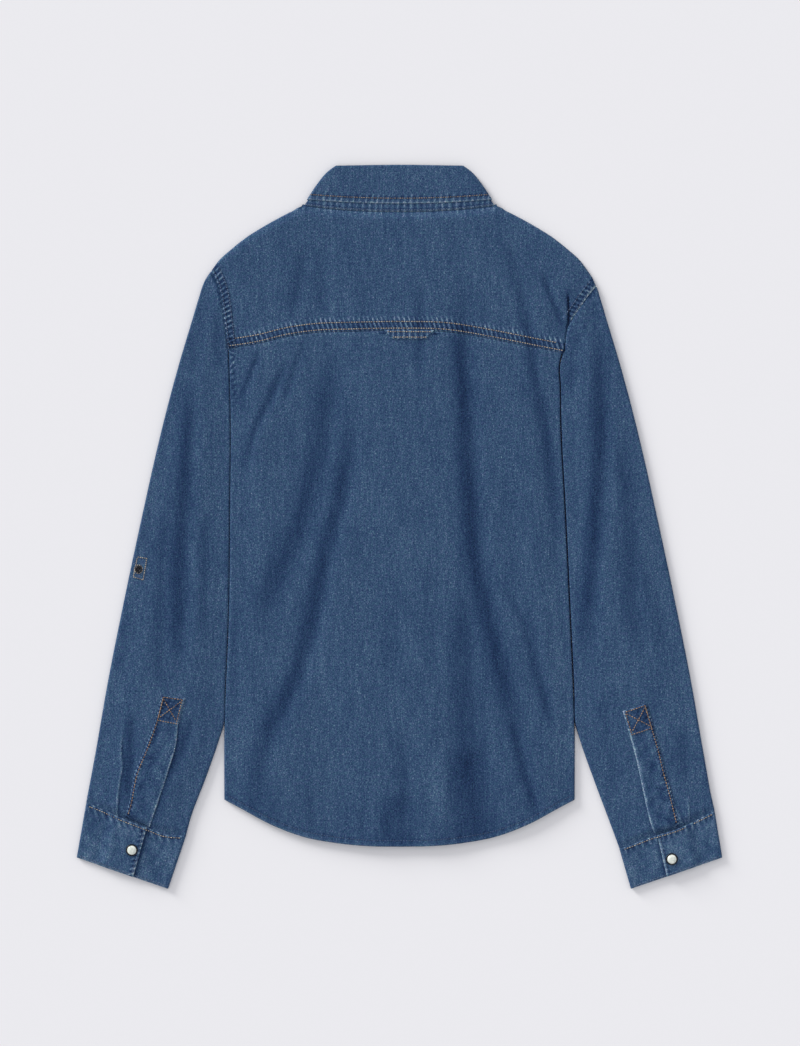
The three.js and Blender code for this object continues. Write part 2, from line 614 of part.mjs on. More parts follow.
// The body's side of an armhole seam, as a block that cuts the sleeve off there
function armholeBlock(side) {
  const sign = side === 'left' ? -1 : 1;
  const top = ARMHOLES[side][0].y;
  const steps = 14;
  const seam = Array.from({ length: steps + 1 }, (_, i) => {
    const y = mix(top, armholeFoot(side), i / steps);
    const more = ARMHOLE_GAP.more[side] * (1 - smooth(ARMHOLE_GAP.from, ARMHOLE_GAP.to, y));
    return new THREE.Vector2(armholeAt[side](y) + sign * (ARMHOLE_GAP.least + more), y);
  });
  const start = seam[0].clone().add(seam[0].clone().sub(seam[1]).multiplyScalar(2));
  const foot = seam[seam.length - 1];
  const block = { inner: 60, head: 340, below: 5, depth: 20 };
  const inside = [
    new THREE.Vector2(foot.x, foot.y - 1),
    new THREE.Vector2(sign * block.inner, foot.y - 1),
    new THREE.Vector2(sign * block.inner, block.head),
    new THREE.Vector2(start.x, block.head),
  ];
  const shape = new THREE.Shape([start, ...seam, ...inside]);
  const solid = new THREE.ExtrudeGeometry(shape, { depth: block.depth, bevelEnabled: false });
  solid.translate(0, 0, -block.below);
  solid.deleteAttribute('normal');
  solid.deleteAttribute('uv');
  return mergeVertices(solid);
}

// Sleeves: a panel rolled into a flat tube, cut off at the armhole
function sleeve(side) {
  const sign = side === 'left' ? -1 : 1;
  const seamPoints = CUFFS[side].seam;
  const seamLine = line(seamPoints.map(([x, y]) => [x, y + 2 * SEAM]));
  const clearOfSeam = 6; // rows nearer the cuff seam are left to the seam's own end
  const outerRows = OUTER.filter((row) => row.y > seamPoints[0][1] + clearOfSeam);
  const outerPoints = outerRows.map((row) => [sign * row.x, row.y]).reverse();
  const outerLine = line([seamLine(0).toArray(), ...outerPoints, SLEEVE_TOP[side]]);
  const innerLine = line([seamLine(1).toArray(), ...sleeveInner(side).slice(1)]);
  const topLine = (u) => outerLine(1).lerp(innerLine(1), u);
  const outerFirst = patch({ left: outerLine, right: innerLine, bottom: seamLine, top: topLine });
  const plan = sign < 0 ? outerFirst : (u, v) => outerFirst(1 - u, v);
  const width = (v) => plan(1, v).distanceTo(plan(0, v));
  const long = (v) => width(v) - 2 * BODY_INSET - UNDERARM_LIP - SEAM;
  const short = () => UNDERARM_LIP;
  const middle = flatTube({
    plan,
    inset: BODY_INSET,
    top: sleeveHeight,
    under: () => UNDER,
    lipLeft: sign < 0 ? long : short,
    lipRight: sign < 0 ? short : long,
  });
  const across = tubeStations({
    lipLeft: sign < 0 ? 5 : 1, fold: 3, top: 10, lipRight: sign < 0 ? 1 : 5,
  });
  const upperArm = 0.7; // finer rows from here up
  const up = stations({ from: 0, to: upperArm, steps: 10 }, { from: upperArm, to: 1, steps: 8 });
  const tube = toManifold(sheet(across, up, CLOTH, middle));
  const cut = tube.subtract(toManifold(armholeBlock(side)));
  add(`sleeve_${side}`, fromManifold(cut), DENIM);
}

// Cuffs: a band from its hidden end, round the inner fold, underneath, round the outer fold
// and over its own start
function cuff(side) {
  const sign = side === 'left' ? -1 : 1;
  const { seam, hem, lapEnd } = CUFFS[side];
  const hemLine = line(hem);
  const seamLine = line(seam);
  const plan = patch({
    left: (v) => hemLine(0).lerp(seamLine(0), v),
    right: (v) => hemLine(1).lerp(seamLine(1), v),
    bottom: hemLine,
    top: seamLine,
  });
  const under = CUFF / 2;
  const low = CUFF_LOW;
  const high = low + CUFF + SEAM;
  const inset = (low - under) / 2 + CUFF / 2;
  const middle = (p, v) => {
    const stage = Math.min(Math.floor(p), 4);
    const t = p - stage;
    const edge = inset / plan(1, v).distanceTo(plan(0, v));
    if (stage === 0) return lifted(plan(mix(CUFF_UNDERLAP, 1 - edge, t), v), low);
    if (stage === 2) return lifted(plan(mix(1 - edge, edge, t), v), under);
    if (stage === 4) {
      const share = mix(edge, lapEnd, t);
      return lifted(plan(share, v), mix(low, high, smooth(CUFF_LIFT_FROM, CUFF_LIFT_TO, share)));
    }
    const inner = stage === 1;
    const fold = plan(inner ? 1 - edge : edge, v);
    const out = plan(inner ? 1 : 0, v).sub(fold).normalize();
    const radius = (low - under) / 2;
    const turn = Math.PI * (inner ? t : 1 - t);
    fold.addScaledVector(out, radius * Math.sin(turn));
    return lifted(fold, under + radius * (1 + Math.cos(turn)));
  };
  const spans = [
    { from: 0, to: 1, steps: 4 },
    { from: 1, to: 2, steps: 4 },
    { from: 2, to: 3, steps: 5 },
    { from: 3, to: 4, steps: 4 },
    { from: 4, to: 5, steps: 10 },
  ];
  const forward = stations(...spans);
  const across = sign < 0 ? forward : forward.map((p) => 5 - p).reverse();
  const band = sign < 0 ? middle : (p, v) => middle(5 - p, v);
  add(`cuff_${side}`, sheet(across, stations({ from: 0, to: 1, steps: 4 }), CUFF, band), DENIM);
  snap(side, CUFFS[side].snap, high + CUFF / 2 + SEAM);
}

// A body turned on the Z axis from a closed outline of [radius, height]
function turned(outline, segments, x, y, z) {
  const points = [...outline, outline[0]].map(([r, h]) => new THREE.Vector2(r, h));
  const lathe = new THREE.LatheGeometry(points, segments);
  lathe.deleteAttribute('normal');
  lathe.deleteAttribute('uv');
  const geometry = mergeVertices(lathe);
  geometry.rotateX(Math.PI / 2);
  geometry.translate(x, y, z);
  return geometry;
}

// A pearl snap's cap: a metal rim and a domed pearl in it, as outlines of [radius, height]
function snap(side, [x, y], z) {
  const rim = [[5.2, 0], [SNAP_RADIUS, 0], [SNAP_RADIUS, 0.7], [SNAP_RADIUS - CAP_CHAMFER, 1.1], [5.2, 1.1]];
  const pearl = [[0, 0], [4.9, 0], [4.9, 1.0], [3.9, 1.6], [2.2, 1.9], [0, 2.0]];
  add(`cuff_snap_ring_${side}`, turned(rim, 16, x, y, z), RING);
  add(`cuff_snap_pearl_${side}`, turned(pearl, 16, x, y, z), PEARL);
}

// Caps of the front snaps, under the outer front and the stand
function frontSnaps() {
  const flat = SNAP_RADIUS - CAP_CHAMFER;
  const outline = [
    [0, 0], [flat, 0], [SNAP_RADIUS, CAP_CHAMFER], [SNAP_RADIUS, CAP_THICK], [0, CAP_THICK]];
  [STAND_SNAP_Y, ...frontSnapY].forEach((y, i) => {
    add(`front_snap_${i + 1}`, turned(outline, 12, 0, y, 0), PEARL);
  });
}

const STRIP_RAISE = CLOTH / 2 + SEAM + BAND / 2 + LYING_ON; // middle of a strip over the cloth's middle

// Sleeve plackets: strips that lie on the sleeve
function placket(side) {
  const rows = side === 'left' ? PLACKET_LEFT : PLACKET_RIGHT;
  const a = line(rows.map((row) => row.a));
  const b = line(rows.map((row) => row.b));
  const middle = (u, v) => {
    const point = a(v).lerp(b(v), u);
    return lifted(point, sleeveHeight(point) + STRIP_RAISE);
  };
  const across = stations({ from: 0, to: 1, steps: 3 });
  const up = stations({ from: 0, to: 1, steps: 12 });
  add(`placket_${side}`, sheet(across, up, BAND, middle), DENIM);
}

// Locker loop: a strip that hangs from the yoke seam
function lockerLoop() {
  const middle = (u, v) => {
    const x = mix(mix(LOOP.footLeft, LOOP.footRight, u), mix(LOOP.topLeft, LOOP.topRight, u), v);
    const y = mix(LOOP.foot, yokeSeam(x) - SEAM, v);
    const point = new THREE.Vector2(x, y);
    return lifted(point, backHeight(point) + STRIP_RAISE);
  };
  const across = stations({ from: 0, to: 1, steps: 8 });
  add('locker_loop', sheet(across, stations({ from: 0, to: 1, steps: 3 }), BAND, middle), DENIM);
}

// Stud of the roll-up tab, on the left sleeve
function tabStud() {
  const outline = [[0, 0], [4, 0], [4, 0.6], [2.4, 0.8], [2.2, 1.9], [0, 2.1]];
  const z = sleeveHeight(TAB_STUD) + CLOTH / 2 + SEAM;
  add('tab_stud', turned(outline, 12, TAB_STUD.x, TAB_STUD.y, z), RING);
}

// The leaf's fold line underneath, from the side to the centre front
const rollLine = (x) => ROLL_CENTRE[1] + ROLL_RISE * (Math.abs(x) / ROLL_SIDE) ** 1.5;

// Collar leaf: over the stand at the back, round the neck and down to its two points
function collarLeaf() {
  const radius = (LEAF_TOP - LEAF_UNDER) / 2;
  const rollOut = (radius + BAND / 2) * Math.sin(ROLL_ANGLE);
  const side = (sign) => (v) => {
    const y = mix(LEAF_EDGE_SIDE, COLLAR_TOP - rollOut, v);
    return new THREE.Vector2(sign * lookup(COLLAR_SIDE, 'y', 'x', y), y);
  };
  const left = side(-1);
  const right = side(1);
  const bottom = (u) => {
    const p = left(0).lerp(right(0), u);
    return p.setY(mix(LEAF_EDGE_CENTRE, LEAF_EDGE_SIDE, (2 * u - 1) ** 2));
  };
  const top = (u) => left(1).lerp(right(1), u);
  const plan = patch({ left, right, bottom, top });
  const inset = radius + BAND / 2;
  const foldPoint = (sign, v) => {
    const edge = inset / plan(1, v).distanceTo(plan(0, v));
    return plan(sign < 0 ? edge : 1 - edge, v);
  };
  const below = (sign) => (t, v) => {
    const start = foldPoint(sign, v);
    const freeEdge = foldPoint(sign, 0).lerp(new THREE.Vector2(sign * LEAF_POINT[0], LEAF_POINT[1]), t);
    const foldX = mix(Math.abs(foldPoint(sign, 1).x), ROLL_CENTRE[0], t);
    const scale = ROLL_SIDE / Math.abs(foldPoint(sign, 1).x);
    const foldY = mix(foldPoint(sign, 1).y, ROLL_CENTRE[1], 1 - (foldX * scale / ROLL_SIDE) ** 1.5);
    const straight = foldPoint(sign, 0).lerp(foldPoint(sign, 1), v);
    const bow = start.sub(straight).multiplyScalar(1 - t);
    return freeEdge.lerp(new THREE.Vector2(sign * foldX, foldY), v).add(bow);
  };
  const tube = flatTube({
    plan,
    inset,
    top: () => LEAF_TOP,
    under: () => LEAF_UNDER,
    underLeft: below(-1),
    underRight: below(1),
  });
  const level = (LEAF_TOP + LEAF_UNDER) / 2;
  const middle = (p, v) => {
    const at = tube(p, Math.min(v, 1));
    if (v <= 1) return at;
    const turn = (v - 1) * ROLL_ANGLE;
    const out = at.clone().sub(tube(p, 1 - SHARE_BACK)).setZ(0).normalize();
    at.addScaledVector(out, radius * Math.sin(turn));
    return at.setZ(level + (at.z - level) * Math.cos(turn));
  };
  const across = tubeStations({ lipLeft: 5, fold: 4, top: 8, lipRight: 5 });
  const up = stations({ from: 0, to: 1, steps: 4 }, { from: 1, to: 2, steps: 2 });
  add('collar_leaf', sheet(across, up, BAND, middle), DENIM);
}

// Collar stand: inside the leaf, its ends lapped at the centre front
function collarStand() {
  const outside = (LEAF_TOP - LEAF_UNDER) / 2 + BAND / 2; // the leaf's fold, outside radius
  const side = (sign) => (v) => {
    const y = mix(neckSeam(NECK_HALF) + SEAM / 2, STAND_HEAD, v);
    return new THREE.Vector2(sign * (lookup(COLLAR_SIDE, 'y', 'x', y) - outside - SEAM), y);
  };
  const left = side(-1);
  const right = side(1);
  const bottom = (u) => {
    const p = left(0).lerp(right(0), u);
    return p.setY(neckSeam(p.x * NECK_HALF / Math.abs(left(0).x)) + SEAM / 2);
  };
  const top = (u) => left(1).lerp(right(1), u);
  const plan = patch({ left, right, bottom, top });
  const radius = (STAND_TOP - STAND_UNDER) / 2;
  const lapOver = LAP - 1;
  const lapFrom = 0.48; // share of the way to the centre where the upper end starts to climb the lower
  const lapFull = 0.59;
  const belowRoll = 2.5; // upper edge of the stand under the leaf's fold
  const tuck = { depth: 6, from: lapFrom - 0.2, to: lapFull - 0.05 }; // the upper end lies lower in the fold
  const headLevel = 0.6;
  const below = (sign) => (t, v) => {
    const start = plan(sign < 0 ? 0 : 1, v);
    const footX = mix(sign * Math.abs(plan(0, 0).x), -sign * lapOver, t);
    const headX = mix(sign * Math.abs(plan(0, 1).x), -sign * lapOver, t);
    const footRise = (start0(sign).y - neckline(start0(sign).x)) * (1 - t);
    const foot = new THREE.Vector2(footX, neckline(footX) + SEAM / 2 + footRise);
    const headFall = (rollLine(plan(1, 1).x) - belowRoll - plan(1, 1).y) * (1 - smooth(0, headLevel, t));
    const tucked = sign > 0 ? tuck.depth * smooth(tuck.from, tuck.to, t) : 0;
    const head = new THREE.Vector2(headX, rollLine(headX) - belowRoll - headFall - tucked);
    const straight = start0(sign).lerp(plan(sign < 0 ? 0 : 1, 1), v);
    const bow = start.sub(straight).multiplyScalar(1 - t);
    return foot.lerp(head, v).add(bow);
  };
  const start0 = (sign) => plan(sign < 0 ? 0 : 1, 0);
  const lap = (t) => (BAND + SEAM) * THREE.MathUtils.clamp((t - lapFrom) / (lapFull - lapFrom), 0, 1);
  const middle = (p, v) => {
    const stage = Math.min(Math.floor(p), 4);
    const t = p - stage;
    if (stage === 2) return lifted(plan(t, v), STAND_TOP);
    if (stage === 0) return lifted(below(-1)(1 - t, v), STAND_UNDER);
    if (stage === 4) return lifted(below(1)(t, v), STAND_UNDER + lap(t));
    const isLeft = stage === 1;
    const fold = plan(isLeft ? 0 : 1, v);
    const out = fold.clone().sub(plan(isLeft ? SHARE_BACK : 1 - SHARE_BACK, v)).normalize();
    const turn = Math.PI * (isLeft ? 1 - t : t);
    fold.addScaledVector(out, radius * Math.sin(turn));
    return lifted(fold, STAND_UNDER + radius * (1 + Math.cos(turn)));
  };
  const across = stations(
    { from: 0, to: 1, steps: 9 },
    { from: 1, to: 2, steps: 3 },
    { from: 2, to: 3, steps: 8 },
    { from: 3, to: 4, steps: 3 },
    { from: 4, to: 4 + lapFrom, steps: 5 },
    { from: 4 + lapFrom, to: 4 + lapFull, steps: 1 },
    { from: 4 + lapFull, to: 5, steps: 3 },
  );
  add('collar_stand', sheet(across, stations({ from: 0, to: 1, steps: 3 }), BAND, middle), DENIM);
}

backBody();
backYoke();
front('left');
front('right');
sleeve('left');
sleeve('right');
cuff('left');
cuff('right');
placket('left');
placket('right');
collarLeaf();
collarStand();
lockerLoop();
tabStud();
frontSnaps();

export default shirt;
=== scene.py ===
# %% [markdown]
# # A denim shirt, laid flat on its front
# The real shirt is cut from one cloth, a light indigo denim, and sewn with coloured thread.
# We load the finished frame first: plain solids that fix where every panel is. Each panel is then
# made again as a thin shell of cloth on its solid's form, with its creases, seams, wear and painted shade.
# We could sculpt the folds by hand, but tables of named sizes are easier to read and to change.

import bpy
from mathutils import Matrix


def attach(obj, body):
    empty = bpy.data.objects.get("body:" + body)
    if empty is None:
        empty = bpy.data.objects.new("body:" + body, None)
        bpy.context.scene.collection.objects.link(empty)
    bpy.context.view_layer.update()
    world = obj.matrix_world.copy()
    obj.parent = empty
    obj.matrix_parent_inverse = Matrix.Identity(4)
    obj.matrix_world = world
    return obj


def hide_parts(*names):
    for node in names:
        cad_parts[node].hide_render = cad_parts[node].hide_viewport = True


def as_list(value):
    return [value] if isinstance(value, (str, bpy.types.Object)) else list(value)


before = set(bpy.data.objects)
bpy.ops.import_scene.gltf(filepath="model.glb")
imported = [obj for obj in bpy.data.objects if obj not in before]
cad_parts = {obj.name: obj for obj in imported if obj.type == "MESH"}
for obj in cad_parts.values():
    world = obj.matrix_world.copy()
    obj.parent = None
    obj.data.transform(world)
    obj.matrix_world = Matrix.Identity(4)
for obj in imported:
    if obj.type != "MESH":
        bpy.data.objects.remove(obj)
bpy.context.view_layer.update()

import bmesh
import bpy
import numpy as np
from mathutils import Matrix, Vector

MM = 0.001
print("frame nodes:", len(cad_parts))

# %% [markdown]
# ## Camera
# A flat garment is photographed from straight above with a long lens, so nothing leans. Blender's
# sensor is 36 mm along the picture's longer side, and that gives the height at which the camera hangs.
# The top of the cloth is a few millimetres up, so the camera hangs that much higher.

# %% Camera
LENS = 100
SENSOR = 36
VIEW_HEIGHT = 1046  # millimetres of the table that the picture shows from top to bottom
VIEW_CENTRE = (0.5, 3.75)
CLOTH_TOP = 4
camera_data = bpy.data.cameras.new("camera")
camera_data.lens = LENS
camera_data.clip_end = 50
camera = bpy.data.objects.new("camera", camera_data)
camera.location = (VIEW_CENTRE[0] * MM, VIEW_CENTRE[1] * MM, (VIEW_HEIGHT * LENS / SENSOR + CLOTH_TOP) * MM)
bpy.context.collection.objects.link(camera)
bpy.context.scene.camera = camera
bpy.context.scene.view_settings.view_transform = "Standard"
print("camera height (m):", round(camera.location.z, 3))

# %% [markdown]
# ## Colours and shader nodes
# A web colour is written for screens, and a shader wants linear light, so one function turns it round.
# Materials are made of nodes. We could add each with several lines, but one function that adds a node
# with its settings and links keeps a whole material short enough to read.

# %% Colours and nodes
def linear(colour):
    """A web colour, as Blender's shaders want it: linear red, green, blue and alpha"""
    parts = [int(colour[i:i + 2], 16) / 255 for i in (1, 3, 5)]
    return tuple(c / 12.92 if c <= 0.04045 else ((c + 0.055) / 1.055) ** 2.4 for c in parts) + (1,)


def node(tree, kind, inputs=None, **settings):
    """Adds a shader node with its settings, and links or fills its inputs"""
    made = tree.nodes.new(kind)
    for key, value in settings.items():
        setattr(made, key, value)
    for key, value in (inputs or {}).items():
        if isinstance(value, bpy.types.NodeSocket):
            tree.links.new(value, made.inputs[key])
        else:
            made.inputs[key].default_value = value
    return made


def surface(name):
    """A new material, its tree of nodes still empty"""
    made = bpy.data.materials.new(name)
    made.use_nodes = True
    made.node_tree.nodes.clear()
    return made, made.node_tree


print("white is", linear("#FFFFFF"))

# %% [markdown]
# ## Light and floor
# A low, broad light from the upper left draws every fold as a soft dark streak, and a pale dome fills
# the rest. A sun lamp keeps its strength over the whole shirt, which a lamp close by would not. The
# floor is plain matt paper, a hair under the cloth.

# %% Light and floor
SUN_STRENGTH = 3.5
SUN_WIDTH = 21  # degrees of the sky that it fills: the wider, the softer the shadows
SUN_FROM = (-0.68, 0.62, 0.25)
FLOOR_DROP = 0.3  # the floor lies this far under the cloth, so the two never flicker
FLOOR_REACH = 6.0

world = bpy.data.worlds.new("studio dome")
world.use_nodes = True
world.node_tree.nodes.clear()
dome = node(world.node_tree, "ShaderNodeBackground", {"Color": linear("#F0F0F3"), "Strength": 0.865})
node(world.node_tree, "ShaderNodeOutputWorld", {"Surface": dome.outputs[0]})
bpy.context.scene.world = world

sun_data = bpy.data.lights.new("window light", "SUN")
sun_data.energy = SUN_STRENGTH
sun_data.angle = np.radians(SUN_WIDTH)
sun_data.color = (1.0, 0.985, 0.96)
sun = bpy.data.objects.new("window light", sun_data)
sun.rotation_euler = Vector(SUN_FROM).to_track_quat("Z", "Y").to_euler()
bpy.context.collection.objects.link(sun)


def mesh_from(name, bm):
    """Turns a finished bmesh into a mesh, and frees it"""
    mesh = bpy.data.meshes.new(name)
    bm.to_mesh(mesh)
    bm.free()
    return mesh


bm = bmesh.new()
bmesh.ops.create_grid(bm, x_segments=1, y_segments=1, size=FLOOR_REACH)
bmesh.ops.translate(bm, verts=bm.verts, vec=(0, 0, -FLOOR_DROP * MM))
floor = bpy.data.objects.new("floor", mesh_from("floor", bm))
bpy.context.collection.objects.link(floor)

# Uncoated paper: near white, with no gloss, so it shows nothing but the shirt's soft shadow
paper, tree = surface("matte paper floor")
shader = node(tree, "ShaderNodeBsdfPrincipled", {
    "Base Color": linear("#E6E6E9"), "Roughness": 0.95, "Specular IOR Level": 0.1})
node(tree, "ShaderNodeOutputMaterial", {"Surface": shader.outputs[0]})
floor.data.materials.append(paper)
print("light comes from", SUN_FROM)

# %% [markdown]
# ## The pattern's lines
# A maker draws a shirt as lines: shoulders, sides, armholes, seams and hem. We write each line as a
# short table in millimetres, with X across the shirt and Y from hem to collar. The upper half of the
# outline is the same left and right. The tables agree with the plain solids, so every panel fits.

# %% Tables of the outline and the seams
CLOTH = 1.2  # one layer of the solids
DENIM = 0.7  # the cloth that we make
FOLD_TOP = 3.2  # middle of the upper layer over a folded edge
FOLD_INSET = (FOLD_TOP - CLOTH / 2) / 2 + CLOTH / 2
SEAM = 0.3  # gap between two panels that stands for the sewn seam
LAP = 16  # how far a front reaches past the centre
NECK_HALF = 97

OUTER = [  # height, half width
    (257.1, 187.7), (246.8, 194.5), (226.8, 201.5), (206.8, 207.5), (166.8, 219.5), (126.8, 230.5),
    (86.8, 240.5), (6.8, 258.5), (-73.2, 275.5), (-153.2, 291.5), (-233.2, 305.5), (-276.2, 313.5),
    (-330.8, 323)]
SHOULDER = [  # half width, height
    (97, 320.8), (113.5, 312.8), (135.5, 300.8), (154.5, 288.8), (169.5, 276.8), (180.5, 266.8),
    (187.7, 257.1), (194.5, 246.8), (196.8, 240.8)]
BODY_SIDE = {  # height, x of the folded edge
    "left": [(178.5, -171.2), (158.8, -170.6), (141.8, -170.1), (99.8, -169.2), (30.8, -169.8),
             (-81.2, -170.9), (-208.2, -175.5), (-272.8, -175.5)],
    "right": [(178.5, 164.0), (158.8, 160.0), (141.8, 160.9), (99.8, 161.5), (30.8, 165.1),
              (-81.2, 170.5), (-208.2, 175.5), (-272.8, 175.5)]}
ARMHOLE = {
    "left": [(256.8, -188), (244.8, -182.5), (234.8, -179.2), (221.8, -177), (204.8, -174.9),
             (190.8, -173.3), (178.5, -172.7)],
    "right": [(240.8, 196.8), (230.8, 188.5), (216.8, 178.9), (205.5, 171.2), (192.8, 167.5),
              (173.8, 165.5)]}
YOKE_SEAM = [(-172.7, 178.5), (-143.5, 183), (-112, 190.5), (-86.5, 194.2), (-48.5, 195.6), (0, 196.4),
             (47.5, 195.2), (95.5, 187.5), (127.5, 181.2), (165.5, 173.8)]
HEM = [(0, -319.8), (31.5, -319.2), (63.5, -316.2), (95.5, -310.2), (127.5, -298.2),
       (159.5, -281.2), (175.5, -272.8)]
SLEEVE_FREE = [  # distance from the centre and height, where the inner edge lies free
    (209.5, -293.2), (194.5, -253.2), (180.5, -213.2)]
SLEEVE_CUT = {  # the head of the sleeve, under the yoke
    "left": [(-166, 205), (-152, 232)], "right": [(160, 205), (150, 232)]}
SLEEVE_TOP = {"left": (-171, 278), "right": (176, 274)}
SLEEVE_GAP = 0.1  # between a sleeve and the body's side
CUFF_SEAM = {
    "left": [(-313.5, -276.2), (-304, -279.6), (-278.5, -290.9), (-250.5, -301.7), (-235.5, -307.4),
             (-213.5, -309.2)],
    "right": [(315.3, -284.2), (284.5, -299.3), (279.5, -301.4), (251.5, -310.4), (225.5, -320.4),
              (220, -322.2)]}
CUFF_HEM = {"left": [(-323, -330.8), (-231.5, -362.2)], "right": [(323, -330.8), (231.5, -362.2)]}
CUFF_LAP_END = {"left": 0.62, "right": 0.61}  # as a share of the cuff's width
CUFF_SNAP = {"left": (-267.5, -323.2), "right": (272.2, -332.2)}
SIGN = {"left": -1, "right": 1}
print("points in the outline:", len(OUTER) + len(SHOULDER))

# %% [markdown]
# ## From a table to a smooth line
# Straight lines between the points would show as corners. A cubic through them keeps every point and
# its direction, as a tailor's bent ruler does. Some lines are asked for by height instead of by
# length, and for those we look the second value up in a finely spaced copy.

# %% Reading the tables
def smooth(low, high, value):
    """0 below low, 1 above high, and an even slope between"""
    t = np.clip((value - low) / (high - low), 0, 1)
    return t * t * (3 - 2 * t)


def mix(a, b, t):
    return a + (b - a) * t


def lerp(a, b, t):
    """As mix, for points: one share for each of them"""
    return a + (b - a) * np.asarray(t, float)[..., None]


def points(x, y):
    return np.stack(np.broadcast_arrays(np.asarray(x, float), np.asarray(y, float)), axis=-1)


def length_of(way):
    return np.linalg.norm(way, axis=-1)


def unit(way):
    """The same direction, one long"""
    return way / np.maximum(length_of(way), 1e-9)[..., None]


def curve(rows):
    """A smooth line through a table's points, read by a share of its length"""
    rows = np.array(rows, float)
    length = np.concatenate([[0], np.cumsum(length_of(np.diff(rows, axis=0)))])
    slope = np.gradient(rows, length, axis=0)

    def at(share):
        along = np.clip(np.asarray(share, float), 0, 1) * length[-1]
        i = np.clip(np.searchsorted(length, along) - 1, 0, len(rows) - 2)
        span = (length[i + 1] - length[i])[..., None]
        t = (along - length[i])[..., None] / span
        return ((2 * t ** 3 - 3 * t ** 2 + 1) * rows[i] + (t ** 3 - 2 * t ** 2 + t) * span * slope[i]
                + (3 * t ** 2 - 2 * t ** 3) * rows[i + 1] + (t ** 3 - t ** 2) * span * slope[i + 1])
    return at


def reader(rows):
    """The second value of a table at any first value"""
    fine = curve(rows)(np.linspace(0, 1, 500))
    fine = fine[np.argsort(fine[:, 0])]
    return lambda at: np.interp(at, fine[:, 0], fine[:, 1])


outer_at = reader(OUTER)
shoulder_at = reader(SHOULDER)
yoke_seam = reader(YOKE_SEAM)
hem_at = reader(HEM)
side_at = {side: reader(rows) for side, rows in BODY_SIDE.items()}
armhole_at = {side: reader(rows) for side, rows in ARMHOLE.items()}
armhole_foot = {side: rows[-1][0] for side, rows in ARMHOLE.items()}


def neck_seam(x):
    return 315 + 6.3 * (np.abs(x) / NECK_HALF) ** 2.2


def top_edge(x):
    return np.where(np.abs(x) < NECK_HALF, neck_seam(x), shoulder_at(np.abs(x)))


def body_edge(side, y):
    return np.where(y > armhole_foot[side], armhole_at[side](y), side_at[side](y))


print("body width at the hem (mm):", side_at["right"](-272.8) - side_at["left"](-272.8))

# %% [markdown]
# ## Filling a panel's plan
# A panel is bounded by four lines. We blend between the two sides, blend between the bottom and the
# top, add both and take the plain blend of the corners away once. This is a Coons patch, and its
# threads follow every edge, as the grain of a well cut panel does.

# %% Patches
def patch(left, right, bottom, top):
    """Fills the plan between four boundary lines"""
    foot_left, foot_right, head_left, head_right = (
        np.array(edge(share)) for share in (0.0, 1.0) for edge in (left, right))

    def plan(u, v):
        u, v = np.broadcast_arrays(np.asarray(u, float), np.asarray(v, float))
        corners = lerp(lerp(foot_left, foot_right, u), lerp(head_left, head_right, u), v)
        return lerp(left(v), right(v), u) + lerp(bottom(u), top(u), v) - corners
    return plan


square = patch(lambda v: points(0, v), lambda v: points(1, v), lambda u: points(u, 0),
               lambda u: points(u, 1))
print("middle of a unit square:", square(0.5, 0.5))

# %% [markdown]
# ## Creases
# Pressed cotton keeps long soft troughs where it was folded or pulled, running down from the yoke
# and along the sleeves. Each row of these tables is one trough: the points it runs through, its depth,
# and its width at both ends. The light comes from the left, so a trough looks darkest on its left wall,
# and the table gives the place of that dark streak. A depth below zero is a ridge.

